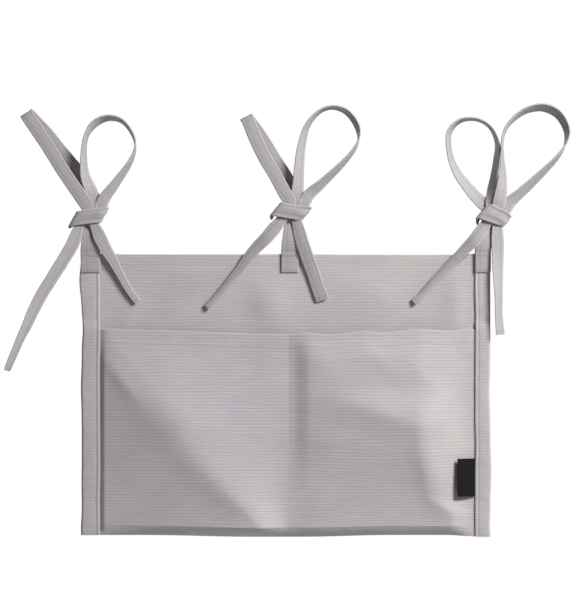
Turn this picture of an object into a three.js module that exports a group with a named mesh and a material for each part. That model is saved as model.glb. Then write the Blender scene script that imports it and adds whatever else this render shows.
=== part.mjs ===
// A cloth organizer for a crib: a panel with two pockets, tied to the crib's rail by three bows.
// Millimetres, +Z up, the pockets face -Y. The origin is on the rail's axis, halfway along the panel.
import * as THREE from 'three';

// Clearance between pieces that touch
const GAP = 0.3;

// Back panel and its hems
const PANEL_WIDTH = 500;
const PANEL_HEIGHT = 346;
const PANEL_THICKNESS = 1.6;
const HEM_DROP = 17;
const TOP_HEM_HEIGHT = 15;
const HEM_THICKNESS = 1.2;
const BINDING_THICKNESS = 1.2;
const LEFT_BINDING_WIDTH = 22.5;
const RIGHT_BINDING_WIDTH = 19;
const BINDING_STEP = 12;

// Pockets
const MOUTH_DROP = 92;
const MOUTH_DIP = 6;
const MOUTH_WAVE = 1.5;
const MOUTH_WAVE_LENGTH = 70;
const MOUTH_HEM_HEIGHT = 19;
const MOUTH_HEM_THICKNESS = 1.2;
const POCKET_CLOTH = 1.4;
const POCKET_DEPTH = 8;
const POCKET_CROWN = 2.5;
const POCKET_MARGIN = 24;
const POCKET_TUCK = 8;
const POCKET_LEVELS = 8;
const BELLY = 5;
const BELLY_FALL = 84;
const DRAG_WIDTH = 56;
const LEFT_DRAG_REACH = 112;
const RIGHT_DRAG_REACH = 198;
const BOTTOM_FOLD_HEIGHT = 12;
const DIVIDER_X = 3.5;

// Lengths between the columns of a sheet: on its flat middle and on its rising margins
const FRONT_STEP = 13;
const MARGIN_STEP = 4;

// Label sewn into the right binding
const LABEL_WIDTH = 23;
const LABEL_HEIGHT = 46.5;
const LABEL_THICKNESS = 0.8;
const LABEL_RISE = 49.5;

// Ties: flat straps, sewn to the panel by a tab on each face and knotted in a bow
const TIE_WIDTH = 16.2;
const TIE_THICKNESS = 2.2;
const TAB_HEIGHT = 23;
const CENTRE_TAB_X = 4.8;
const EYE_FRONT_BULGE = 2.6;
const EYE_BACK_BULGE = 7;
const PINCH = 0.72;
const PINCH_LENGTH = 22;
const MAX_SLANT = 1.5;
const ROUND_END_ANGLES = [72, 37, 0];

// Knots: a core of crossed straps inside the band that shows. BOW_UNIT scales the bows' courses.
const BOW_UNIT = 1;
const CORE_TOP = 5;
const CORE_EDGE_HEIGHT = 2;
const CORE_EDGE_INSET = 1.2;

// Colours of the cloth and of the label
const CANVAS = { color: 0xbbb6b7, roughness: 0.95, metalness: 0 };
const HEM_CANVAS = { color: 0xb3aeb0, roughness: 0.95, metalness: 0 };
const STRAP = { color: 0xbdb9b9, roughness: 0.92, metalness: 0 };
const LABEL_CLOTH = { color: 0x232125, roughness: 0.8, metalness: 0 };

// Levels and depths that several pieces share
const PANEL_TOP = -HEM_DROP;
const PANEL_BOTTOM = PANEL_TOP - PANEL_HEIGHT;
const FACE = PANEL_THICKNESS / 2;
const MOUTH_LEVEL = PANEL_TOP - MOUTH_DROP;
const FOLD_TOP = PANEL_BOTTOM + BOTTOM_FOLD_HEIGHT;
const LEFT_SEAM = -PANEL_WIDTH / 2 + LEFT_BINDING_WIDTH;
const RIGHT_SEAM = PANEL_WIDTH / 2 - RIGHT_BINDING_WIDTH;
const BINDING_BACK = FACE + GAP + BINDING_THICKNESS;
const SEWN_CLOTH_FACE = FACE + GAP + POCKET_CLOTH;

// Depths of the four strap layers inside a knot, from the back forwards
const LAYER_PITCH = TIE_THICKNESS + GAP;
const LAYERS = [0.5, -0.5, -1.5, -2.5].map((step) => step * LAYER_PITCH);
const TAIL_LAYER = -2.1 * LAYER_PITCH;
const NOSE = TIE_THICKNESS / 2;
const CORE_BACK = LAYERS[0] + NOSE;
const CORE_FRONT = LAYERS[3] - NOSE;

// Distances from the panel's middle to the middle of a tab
const sideTabDepth = BINDING_BACK + GAP + NOSE;
const centreTabDepth = FACE + GAP + NOSE;
const backTabDepth = BINDING_BACK + GAP + NOSE;

// The middles of the side tabs, each on its binding
const leftTabX = (LEFT_BINDING_WIDTH - PANEL_WIDTH) / 2;
const rightTabX = (PANEL_WIDTH - RIGHT_BINDING_WIDTH) / 2;

// The three bows. Loops and tails are lists of [x, z, y, roll in degrees] seen from the knot's centre, with x
// and z in BOW_UNIT. Roll 0 lies flat to the front and 90 stands on edge. A folded loop names its width's
// direction instead. Knots are placed by their shift from the tab and their rise over the rail's axis.
const BOWS = [
  {
    name: 'left', tabX: leftTabX, tabWidth: 21.6, knotShift: -2, knotRise: 28, riserShift: 0,
    tabDepth: sideTabDepth,
    wrap: { half: 19, height: 19, slope: 0.13, lean: 0.55 },
    loops: {
      left: {
        widthAngle: 32,
        points: [[1, 0, LAYERS[3]], [-1, 12, -6.5], [-9, 25, -8.2], [-24, 46, -9], [-46, 80, -8.5],
          [-67, 112, -8], [-75.5, 125, -6.6], [-77, 127.5, -3], [-74, 124, 1], [-57, 104, 3.4],
          [-35, 77, 4.4], [-18, 57, 4.6], [-4, 38, 4], [5, 22, 2.2], [7, 12, LAYERS[0]], [8, 0, LAYERS[0]]],
      },
      right: {
        points: [[1, 0, LAYERS[2], 180], [1.5, 14, LAYERS[2], 179], [1, 30, -3.9, 150], [-6, 50, -5, 122],
          [-7, 74, -4.5, 106], [-3, 98, -4, 84], [8, 114, -3.5, 68], [25, 121, -3, 70], [42, 114, -3, 78],
          [54, 92, -3, 84], [49, 69, -3, 104], [30, 40, -2.5, 126], [17, 22, -1.8, 150],
          [8, 0, LAYERS[1], 180]],
      },
    },
    tails: {
      left: [[-12, 0, TAIL_LAYER, 176], [-22, -35, -8.5, 172], [-40, -69, -9.5, 178], [-55, -93, -10, 157],
        [-68, -115, -10, 149], [-76, -132, -10, 135], [-84, -148, -10, 120], [-100, -186, -10, 113]],
      right: [[6, 0, TAIL_LAYER, 174], [14, -24, -10.2, 172], [22, -38, -12, 158], [28, -51, -12.6, 150],
        [37, -68, -13, 133], [45, -83, -13, 127], [52, -94, -13, 115], [60, -104, -13, 108]],
    },
  },
  {
    name: 'centre', tabX: CENTRE_TAB_X, tabWidth: 21.6, knotShift: 1.6, knotRise: 34.6, riserShift: -1,
    tabDepth: centreTabDepth,
    wrap: { half: 18.5, height: 15.5, slope: -0.16, lean: 0.8 },
    loops: {
      left: {
        widthAngle: 26,
        points: [[1, 0, LAYERS[3]], [-2, 12, LAYERS[3]], [-8, 23, -8], [-18, 42, -9], [-32, 67, -8.5],
          [-46, 97, -8], [-53, 112, -6.8], [-55.5, 116, -3], [-54, 112, 1], [-41, 93, 3.4], [-30, 76, 4.4],
          [-19, 58, 4.6], [-6, 38, 4], [2, 22, 2.2], [4, 12, LAYERS[0]], [5, 0, LAYERS[0]]],
      },
      right: {
        points: [[5, 0, LAYERS[2], 180], [6, 13, LAYERS[2], 177], [8, 28, -4.6, 150], [10, 52, -5, 133],
          [13, 77, -5, 123], [20, 103, -4.5, 106], [34, 121, -4, 90], [51, 126.5, -3.5, 77],
          [68, 120, -3, 71], [80, 102, -3, 70], [79, 83, -3, 96], [62, 60, -3, 112], [36, 35, -2.5, 130],
          [20, 20, -1.8, 152], [12, 0, LAYERS[1], 180]],
      },
    },
    tails: {
      left: [[-11, 0, TAIL_LAYER, 2], [-30, -30, -9.6, 20], [-42, -44, -11.8, 32], [-53, -57, -12.6, 43],
        [-61, -68, -13, 52], [-70, -79, -13, 64], [-90, -103, -13, 74], [-104, -118, -13, 62]],
      right: [[5, 0, TAIL_LAYER, 8], [14.5, -41, -10.4, 10], [26, -74, -12, 12], [38.4, -108.5, -12, 14]],
    },
  },
  {
    name: 'right', tabX: rightTabX, tabWidth: 18.6, knotShift: 13.9, knotRise: 28, riserShift: -7.5,
    tabDepth: sideTabDepth,
    wrap: { half: 15.5, height: 13, slope: -0.4, lean: 0.8 },
    loops: {
      left: {
        points: [[5, 0, LAYERS[0], 0], [4, 12, LAYERS[0], 6], [-9, 22, 0.5, 22], [-21, 32, -1, 38],
          [-41, 50, -3, 54], [-54, 77, -4, 74], [-54, 103, -4, 76], [-41, 117, -4, 82], [-22, 119, -5, 84],
          [-5, 109, -6, 85], [4, 90, -6.5, 83], [3, 66, -6.5, 66], [-1, 44, -6.5, 62], [-1, 25, -7.5, 30],
          [1, 12, LAYERS[3], 3], [1, 0, LAYERS[3], 0]],
      },
      right: {
        points: [[4, 0, LAYERS[2], 0], [6, 13, LAYERS[2], 0], [9, 26, -2.6, 20], [11.5, 42, -2, 48],
          [13.5, 62, -0.5, 64], [13, 80, 0, 78], [13, 97, 0, 82], [21, 115, -1, 79], [38, 130, -2, 70],
          [59, 134, -3, 61], [79, 124, -3, 61], [89, 103, -3, 71], [82, 80, -3, 100], [60, 56, -2.5, 120],
          [32, 30, -2, 136], [18, 16, -1.6, 160], [12, 0, LAYERS[1], 180]],
      },
    },
    tails: {
      left: [[-10, 0, TAIL_LAYER, 6], [-24, -28, -9.2, 30], [-35, -38, -11.2, 43], [-49, -52, -12.6, 62],
        [-64, -68, -13.2, 74], [-78, -83, -13.2, 74], [-89, -95, -13.2, 72], [-99, -104, -13.2, 66]],
      right: [[5.5, 0, TAIL_LAYER, 172], [6, -30, -7, 152], [6.5, -52, -7, 136], [6.5, -72, -7, 124],
        [6.5, -93, -7, 115], [7, -114, -7, 108], [9, -142, -7, 118]],
    },
  },
];

const radians = THREE.MathUtils.degToRad;
const smooth = (t) => THREE.MathUtils.smoothstep(t, 0, 1);
const X = new THREE.Vector3(1, 0, 0);
const UP = new THREE.Vector3(0, 0, 1);
const FRONT = new THREE.Vector3(0, -1, 0);

const group = new THREE.Group();

function addPiece(parent, name, geometry, finish) {
  const mesh = new THREE.Mesh(geometry, new THREE.MeshStandardMaterial(finish));
  mesh.name = name;
  parent.add(mesh);
  return mesh;
}

function signedVolume(positions, indices) {
  const [a, b, c] = [new THREE.Vector3(), new THREE.Vector3(), new THREE.Vector3()];
  let six = 0;
  for (let i = 0; i < indices.length; i += 3) {
    a.fromArray(positions, 3 * indices[i]);
    b.fromArray(positions, 3 * indices[i + 1]);
    c.fromArray(positions, 3 * indices[i + 2]);
    six += a.dot(b.cross(c));
  }
  return six / 6;
}

// A closed solid through a row of rings with the same number of points. The two ends are filled from the
// ring's outline in its own plane. Without an outline the last ring joins the first.
function loft(rings, capOutline) {
  const sides = rings[0].length;
  const positions = rings.flat(2);
  const indices = [];
  const spans = capOutline ? rings.length - 1 : rings.length;
  for (let r = 0; r < spans; r += 1) {
    const here = r * sides;
    const there = ((r + 1) % rings.length) * sides;
    for (let s = 0; s < sides; s += 1) {
      const next = (s + 1) % sides;
      indices.push(here + s, here + next, there + next);
      indices.push(here + s, there + next, there + s);
    }
  }
  if (capOutline) {
    const outline = capOutline.map(([u, v]) => new THREE.Vector2(u, v));
    const clockwise = THREE.ShapeUtils.isClockWise(outline);
    const last = spans * sides;
    for (const [a, b, c] of THREE.ShapeUtils.triangulateShape(outline, [])) {
      const [p, q] = clockwise ? [b, c] : [c, b];
      indices.push(a, p, q);
      indices.push(last + a, last + q, last + p);
    }
  }
  if (signedVolume(positions, indices) < 0) {
    indices.reverse();
  }
  const geometry = new THREE.BufferGeometry();
  geometry.setAttribute('position', new THREE.Float32BufferAttribute(positions, 3));
  geometry.setIndex(indices);
  geometry.computeVertexNormals();
  return geometry;
}

// The flat section of a strap, with rounded long edges
function strapSection(width, thickness) {
  const edge = thickness / 2;
  const flat = width / 2 - edge;
  return [[-flat, -edge], [flat, -edge], [flat + edge, 0], [flat, edge], [-flat, edge], [-flat - edge, 0]];
}

// The direction of a strap's width, square to its course: turned from the plane of the panel by the roll, or
// kept at the folded loop's own direction.
function widthDirection(tangent, roll, widthAngle) {
  const width = new THREE.Vector3();
  if (widthAngle === undefined) {
    width.set(-tangent.z, 0, tangent.x).normalize();
    width.multiplyScalar(Math.cos(radians(roll)));
    width.addScaledVector(FRONT, Math.sin(radians(roll)));
  } else {
    width.set(Math.cos(radians(widthAngle)), 0, Math.sin(radians(widthAngle)));
  }
  return width.addScaledVector(tangent, -width.dot(tangent)).normalize();
}

// The width of an end that is cut level, which is wider where the strap leaves it sideways
function levelWidth(width, tangent) {
  const slant = Math.min(Math.hypot(tangent.x, tangent.z) / Math.abs(tangent.z), MAX_SLANT);
  return X.clone().multiplyScalar((Math.sign(width.x) || 1) * slant);
}

// A strap along a smooth course through its points. An end can be cut level, and the first one rounded
// upwards.
function strap(rows, { widthAt, widthAngle, flatStart, flatEnd, roundStart, stepsPerPoint = 2 }) {
  const course = new THREE.CatmullRomCurve3(rows.map(([x, z, y]) => new THREE.Vector3(x, y, z)));
  course.curveType = 'catmullrom';
  const rolls = new THREE.CatmullRomCurve3(rows.map((row) => new THREE.Vector3(row[3] ?? 0, 0, 0)));
  rolls.curveType = 'catmullrom';
  const steps = (rows.length - 1) * stepsPerPoint;
  const rings = [];
  let travelled = 0;
  let before = course.getPoint(0);
  const total = course.getLength();
  for (let i = 0; i <= steps; i += 1) {
    const t = i / steps;
    const centre = course.getPoint(t);
    travelled += centre.distanceTo(before);
    before = centre;
    const tangent = course.getTangent(t);
    let width = widthDirection(tangent, rolls.getPoint(t).x, widthAngle);
    let depth = new THREE.Vector3().crossVectors(tangent, width).normalize();
    const level = (i === 0 && flatStart) || (i === steps && flatEnd);
    if (level) {
      width = levelWidth(width, tangent);
      depth = new THREE.Vector3(0, Math.sign(depth.y) || 1, 0);
    }
    const section = strapSection(widthAt(travelled, total), TIE_THICKNESS);
    const ringAt = (angle) => section.map(([u, v]) => centre.clone()
      .addScaledVector(width, u)
      .addScaledVector(depth, v * Math.cos(angle))
      .addScaledVector(UP, NOSE * Math.sin(angle))
      .toArray());
    const angles = i === 0 && roundStart ? ROUND_END_ANGLES : [0];
    for (const angle of angles) {
      rings.push(ringAt(radians(angle)));
    }
  }
  return loft(rings, strapSection(TIE_WIDTH, TIE_THICKNESS));
}

// A point of the knot's band: round is the angle about the bundle, up the height on the band, out the
// thickness. The band's ends lean sideways and its course slopes, as seen from the front.
function knotPoint(wrap, round, up, out) {
  const depthMiddle = (CORE_BACK + CORE_FRONT) / 2;
  const depthHalf = (CORE_BACK - CORE_FRONT) / 2 + GAP;
  const c = Math.cos(round);
  const s = Math.sin(round);
  const innerHalf = wrap.half - TIE_THICKNESS;
  const x = (innerHalf + out) * Math.sign(c) * Math.sqrt(Math.abs(c));
  const y = (depthHalf + out) * Math.sign(s) * Math.sqrt(Math.abs(s));
  return [x + wrap.lean * up, depthMiddle - y, up + wrap.slope * x];
}

function knotWrap(wrap) {
  const around = 24;
  const rings = [];
  for (let i = 0; i < around; i += 1) {
    const round = (2 * Math.PI * (i + 0.5)) / around;
    rings.push(strapSection(wrap.height, TIE_THICKNESS)
      .map(([up, out]) => knotPoint(wrap, round, up, out + TIE_THICKNESS / 2)));
  }
  return loft(rings);
}

// The crossed straps inside the knot: level ends that the loops, risers and tails butt against
function knotCore(wrap) {
  const around = 16;
  const bottom = coreBottom(wrap);
  const levels = [bottom, bottom + CORE_EDGE_HEIGHT, CORE_TOP - CORE_EDGE_HEIGHT, CORE_TOP];
  const rings = levels.map((z, k) => {
    const shrink = k === 0 || k === levels.length - 1 ? CORE_EDGE_INSET : 0;
    const ring = [];
    for (let i = 0; i < around; i += 1) {
      const round = (2 * Math.PI * (i + 0.5)) / around;
      const middle = knotPoint(wrap, round, 0, -GAP - shrink);
      const up = z - middle[2];
      ring.push([middle[0] + wrap.lean * up, middle[1], z]);
    }
    return ring;
  });
  return loft(rings, rings[0].map(([x, y]) => [x, y]));
}

function coreBottom(wrap) {
  return -(wrap.height / 2 + Math.abs(wrap.slope) * wrap.half);
}

// Where a tail bends, just under the knot
function tailPivot(bow) {
  return coreBottom(bow.wrap) - GAP - NOSE;
}

function pinched(width, narrow) {
  return (travelled, total) => {
    const fromEnd = Math.min(travelled, total - travelled);
    return width * THREE.MathUtils.lerp(narrow, 1, smooth(fromEnd / PINCH_LENGTH));
  };
}

function pinchedStart(width, narrow) {
  return (travelled) => width * THREE.MathUtils.lerp(narrow, 1, smooth(travelled / PINCH_LENGTH));
}

// A course's points in millimetres
function inMillimetres(points) {
  return points.map(([x, z, ...rest]) => [x * BOW_UNIT, z * BOW_UNIT, ...rest]);
}

function addLoops(knot, bow) {
  for (const side of ['left', 'right']) {
    const { points, widthAngle } = bow.loops[side];
    const rows = inMillimetres(points);
    rows[0][1] = CORE_TOP + GAP;
    rows[rows.length - 1][1] = CORE_TOP + GAP;
    addPiece(knot, `${bow.name}_loop_${side}`, strap(rows, {
      widthAt: pinched(TIE_WIDTH, PINCH), widthAngle, flatStart: true, flatEnd: true,
    }), STRAP);
  }
}

function addTails(knot, bow) {
  for (const side of ['left', 'right']) {
    const rows = inMillimetres(bow.tails[side]);
    rows[0][1] = tailPivot(bow);
    addPiece(knot, `${bow.name}_tail_${side}`, strap(rows, {
      widthAt: pinchedStart(TIE_WIDTH, PINCH), flatStart: true, roundStart: true,
    }), STRAP);
  }
}

// The strap's two strands between the panel's top edge and the knot, which stand apart to take the rail
function addRisers(bow) {
  const top = bow.knotRise * BOW_UNIT + coreBottom(bow.wrap) - GAP;
  const bottom = PANEL_TOP + GAP;
  const rise = top - bottom;
  const knotX = bow.tabX + (bow.knotShift + bow.riserShift) * BOW_UNIT;
  const strands = {
    front: { from: -bow.tabDepth, to: LAYERS[1], bulge: -EYE_FRONT_BULGE },
    back: { from: backTabDepth, to: LAYERS[0], bulge: EYE_BACK_BULGE },
  };
  for (const [face, { from, to, bulge }] of Object.entries(strands)) {
    const rows = [0, 0.2, 0.4, 0.6, 0.8, 1].map((t) => {
      const y = THREE.MathUtils.lerp(from, to, smooth(t)) + bulge * Math.sin(Math.PI * t);
      return [THREE.MathUtils.lerp(bow.tabX, knotX, smooth(t)), bottom + rise * t, y, 0];
    });
    const widthAt = (travelled, total) => {
      const t = smooth(travelled / total);
      return THREE.MathUtils.lerp(bow.tabWidth, TIE_WIDTH * PINCH, t);
    };
    addPiece(group, `${bow.name}_riser_${face}`, strap(rows, {
      widthAt, flatStart: true, flatEnd: true, stepsPerPoint: 1,
    }), STRAP);
  }
}

// A sewn tab, flat on the panel. Its upper edges are rounded to turn under the strap where the strap bends.
function tabGeometry(width, depth, outward) {
  const middle = depth * outward;
  const rim = NOSE / 2;
  const foot = PANEL_TOP - TAB_HEIGHT;
  const profile = [[middle + NOSE, foot + rim]];
  for (const angle of [0, 45, 90, 90, 135, 180]) {
    const side = profile.length <= 3 ? rim : -rim;
    const y = middle + side + rim * Math.cos(radians(angle));
    profile.push([y, PANEL_TOP - rim + rim * Math.sin(radians(angle))]);
  }
  profile.push([middle - NOSE, foot + rim], [middle - rim, foot], [middle + rim, foot]);
  const rings = [-width / 2, width / 2].map((x) => profile.map(([y, z]) => [x, y, z]));
  return loft(rings, profile);
}

function addTabs(bow) {
  const front = addPiece(group, `${bow.name}_tab_front`, tabGeometry(bow.tabWidth, bow.tabDepth, -1), STRAP);
  const back = addPiece(group, `${bow.name}_tab_back`, tabGeometry(bow.tabWidth, backTabDepth, 1), STRAP);
  front.position.x = bow.tabX;
  back.position.x = bow.tabX;
}

// The back panel ends inside the two bindings
function addPanel() {
  const half = PANEL_WIDTH / 2 - BINDING_THICKNESS - GAP;
  const rim = FACE / 2;
  const profile = [[-FACE, PANEL_BOTTOM + rim], [-rim, PANEL_BOTTOM], [rim, PANEL_BOTTOM],
    [FACE, PANEL_BOTTOM + rim], [FACE, PANEL_TOP - rim], [rim, PANEL_TOP], [-rim, PANEL_TOP],
    [-FACE, PANEL_TOP - rim]];
  const rings = [-half, half].map((x) => profile.map(([y, z]) => [x, y, z]));
  addPiece(group, 'back_panel', loft(rings, profile), CANVAS);
}

// The turned-down top edge, on the back between the bindings
function addTopHem() {
  const inner = FACE + GAP;
  const outer = inner + HEM_THICKNESS;
  const rim = HEM_THICKNESS / 3;
  const foot = PANEL_TOP - TOP_HEM_HEIGHT;
  const profile = [[inner, foot], [outer - rim, foot], [outer, foot + rim], [outer, PANEL_TOP - rim],
    [outer - rim, PANEL_TOP], [inner, PANEL_TOP]];
  const rings = [LEFT_SEAM + GAP, RIGHT_SEAM - GAP].map((x) => profile.map(([y, z]) => [x, y, z]));
  addPiece(group, 'top_hem', loft(rings, profile), HEM_CANVAS);
}

// A binding is a channel round the panel's side edge. Its front leg steps forward over the pocket's edge.
function addBinding(side, width) {
  const sign = side === 'left' ? -1 : 1;
  const outer = PANEL_WIDTH / 2;
  const t = BINDING_THICKNESS;
  const outline = (frontFace) => {
    const inner = outer - width;
    const front = -frontFace - t;
    const back = BINDING_BACK;
    return [[inner, -frontFace], [inner, front], [outer - t, front], [outer, front + t], [outer, back - t],
      [outer - t, back], [inner, back], [inner, back - t], [outer - t, back - t], [outer - t, -frontFace]]
      .map(([x, y]) => [sign * x, y]);
  };
  const plain = FACE + GAP;
  const overPocket = SEWN_CLOTH_FACE + GAP;
  const levels = [[PANEL_BOTTOM, overPocket], [MOUTH_LEVEL + GAP, overPocket],
    [MOUTH_LEVEL + BINDING_STEP, plain], [PANEL_TOP, plain]];
  const rings = levels.map(([z, face]) => outline(face).map(([x, y]) => [x, y, z]));
  addPiece(group, `side_binding_${side}`, loft(rings, outline(plain)), HEM_CANVAS);
}

// How far the pocket's belly stands out over its edges. A drag line runs down from the mouth's left end: the
// cloth is low in the corner below it, and rises past it to a belly that falls off towards the right seam.
function pocketBelly(x, z) {
  const isLeft = x < DIVIDER_X;
  const [left, right] = isLeft ? [LEFT_SEAM, DIVIDER_X] : [DIVIDER_X, RIGHT_SEAM];
  const mouth = mouthLevel(x);
  const down = THREE.MathUtils.clamp((mouth - z) / (mouth - FOLD_TOP), 0, 1);
  const drag = left + down * (isLeft ? LEFT_DRAG_REACH : RIGHT_DRAG_REACH);
  const past = smooth((x - drag) / DRAG_WIDTH + 0.5);
  return BELLY * past * smooth((right - x) / BELLY_FALL) * Math.sin(Math.PI * down);
}

// How far the pocket's outer face stands from the panel's middle, at a place across it and a height
function pocketFace(x, z) {
  const fromSeam = Math.min(Math.abs(x - LEFT_SEAM), Math.abs(x - DIVIDER_X), Math.abs(x - RIGHT_SEAM));
  const inside = x > LEFT_SEAM && x < RIGHT_SEAM;
  const margin = inside ? smooth(fromSeam / POCKET_MARGIN) : 0;
  const left = x < DIVIDER_X ? LEFT_SEAM : DIVIDER_X;
  const right = x < DIVIDER_X ? DIVIDER_X : RIGHT_SEAM;
  const across = (x - left - POCKET_MARGIN) / (right - left - 2 * POCKET_MARGIN);
  const crown = across > 0 && across < 1 ? Math.sin(Math.PI * across) ** 2 : 0;
  return SEWN_CLOTH_FACE + (POCKET_DEPTH + pocketBelly(x, z)) * margin + POCKET_CROWN * crown;
}

// The height of the pocket's mouth: it dips towards the middle seam and waves over the right pocket
function mouthLevel(x) {
  const half = x < DIVIDER_X ? DIVIDER_X - LEFT_SEAM : RIGHT_SEAM - DIVIDER_X;
  const dip = 1 - smooth(Math.min(Math.abs(x - DIVIDER_X) / half, 1));
  const wave = x > DIVIDER_X ? Math.sin((2 * Math.PI * (x - DIVIDER_X)) / MOUTH_WAVE_LENGTH) : 0;
  const fade = smooth(Math.min((RIGHT_SEAM - x) / POCKET_MARGIN, (x - DIVIDER_X) / POCKET_MARGIN, 1));
  return MOUTH_LEVEL - MOUTH_DIP * dip + MOUTH_WAVE * wave * Math.max(fade, 0);
}

// An upright sheet of cloth whose outer face follows the pocket's, between two heights
function pocketSheet(fromX, toX, step, levels, inset, thickness) {
  const columns = Math.ceil((toX - fromX) / step);
  const xs = [];
  for (let i = 0; i <= columns; i += 1) {
    xs.push(THREE.MathUtils.lerp(fromX, toX, i / columns));
  }
  const ring = (level) => [
    ...xs.map((x) => [x, -pocketFace(x, level(x)) + inset, level(x)]),
    ...[...xs].reverse().map((x) => [x, -pocketFace(x, level(x)) + inset + thickness, level(x)]),
  ];
  const rings = levels.map(ring);
  return loft(rings, rings[0].map(([x, y]) => [x, y]));
}

// Heights of the pocket sheet's rows: even ones up to the foot of the mouth's hem, then the mouth
function pocketLevels() {
  const levels = [];
  for (let k = 0; k < POCKET_LEVELS; k += 1) {
    const t = k / (POCKET_LEVELS - 1);
    levels.push((x) => THREE.MathUtils.lerp(FOLD_TOP + GAP, mouthLevel(x) - MOUTH_HEM_HEIGHT, t));
  }
  levels.push(mouthLevel);
  return levels;
}

function addPocketMargins() {
  const levels = pocketLevels();
  const sheets = {
    pocket_side_left: [LEFT_SEAM - POCKET_TUCK, LEFT_SEAM + POCKET_MARGIN],
    pocket_divider: [DIVIDER_X - POCKET_MARGIN, DIVIDER_X + POCKET_MARGIN],
    pocket_side_right: [RIGHT_SEAM - POCKET_MARGIN, RIGHT_SEAM + POCKET_TUCK],
  };
  for (const [name, [from, to]] of Object.entries(sheets)) {
    addPiece(group, name, pocketSheet(from, to, MARGIN_STEP, levels, 0, POCKET_CLOTH), CANVAS);
  }
}

// The two pocket fronts, which open about their lower edge, and the hems inside their mouths
function addPocketFronts() {
  const levels = pocketLevels();
  const pockets = {
    left: [LEFT_SEAM + POCKET_MARGIN + GAP, DIVIDER_X - POCKET_MARGIN - GAP],
    right: [DIVIDER_X + POCKET_MARGIN + GAP, RIGHT_SEAM - POCKET_MARGIN - GAP],
  };
  for (const [side, [from, to]] of Object.entries(pockets)) {
    const frontSheet = pocketSheet(from, to, FRONT_STEP, levels, 0, POCKET_CLOTH);
    addPiece(group, `pocket_front_${side}`, frontSheet, CANVAS);
    const inset = POCKET_CLOTH + GAP;
    const hemSheet = pocketSheet(from, to, FRONT_STEP, levels.slice(-2), inset, MOUTH_HEM_THICKNESS);
    addPiece(group, `mouth_hem_${side}`, hemSheet, HEM_CANVAS);
  }
}

// The cloth turned under along the bottom: each upright slice is a quarter round from the panel to the
// pockets' lower edge, with the cloth's thickness inside it
function addBottomFold() {
  const steps = 6;
  const back = FACE + GAP;
  const from = LEFT_SEAM + GAP;
  const to = RIGHT_SEAM - GAP;
  const columns = Math.ceil((to - from) / MARGIN_STEP);
  const rings = [];
  for (let i = 0; i <= columns; i += 1) {
    const x = THREE.MathUtils.lerp(from, to, i / columns);
    const arc = (inset) => {
      const points = [];
      for (let k = 0; k <= steps; k += 1) {
        const angle = (Math.PI / 2) * (k / steps);
        const y = -back - (pocketFace(x, FOLD_TOP) - back - inset) * Math.sin(angle);
        points.push([x, y, FOLD_TOP - (BOTTOM_FOLD_HEIGHT - inset) * Math.cos(angle)]);
      }
      return points;
    };
    rings.push([...arc(0), ...arc(POCKET_CLOTH).reverse()]);
  }
  addPiece(group, 'pocket_bottom_fold', loft(rings, rings[0].map(([, y, z]) => [y, z])), CANVAS);
}

// A folded ribbon, sewn along its right edge and leaning on the pocket's rising side
function addLabel() {
  const hingeX = RIGHT_SEAM - GAP;
  const hingeY = -(SEWN_CLOTH_FACE + GAP + BINDING_THICKNESS) - GAP - LABEL_THICKNESS / 2;
  const freeX = hingeX - LABEL_WIDTH;
  const foot = PANEL_BOTTOM + LABEL_RISE;
  const faces = [0, 0.5, 1].map((t) => pocketFace(freeX, foot + LABEL_HEIGHT * t));
  const rest = Math.max(...faces) + GAP + LABEL_THICKNESS / 2;
  const lean = Math.asin(Math.max(rest + hingeY, 0) / LABEL_WIDTH);
  const t = LABEL_THICKNESS / 2;
  const outline = [[-LABEL_WIDTH, 0], [-LABEL_WIDTH + t, -t], [0, -t], [t, 0], [0, t], [-LABEL_WIDTH + t, t]];
  const rings = [0, -LABEL_HEIGHT].map((z) => outline.map(([x, y]) => [x, y, z]));
  const label = addPiece(group, 'side_label', loft(rings, outline), LABEL_CLOTH);
  label.position.set(hingeX - t, hingeY, foot + LABEL_HEIGHT);
  label.rotation.z = lean;
}

addPanel();
addTopHem();
addBinding('left', LEFT_BINDING_WIDTH);
addBinding('right', RIGHT_BINDING_WIDTH);
addPocketMargins();
addPocketFronts();
addBottomFold();
addLabel();
for (const bow of BOWS) {
  const knot = new THREE.Group();
  knot.position.set(bow.tabX + bow.knotShift * BOW_UNIT, 0, bow.knotRise * BOW_UNIT);
  group.add(knot);
  addPiece(knot, `${bow.name}_knot_wrap`, knotWrap(bow.wrap), STRAP);
  addPiece(knot, `${bow.name}_knot_core`, knotCore(bow.wrap), STRAP);
  addLoops(knot, bow);
  addTails(knot, bow);
  addRisers(bow);
  addTabs(bow);
}

export default group;
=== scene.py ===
"""Looks of the crib organizer: canvas, sewn straps tied in bows, stitching and a bare ribbon label.

Lengths inside the shape functions are millimetres. Every mesh is scaled to metres when it is made.
"""
import math

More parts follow.
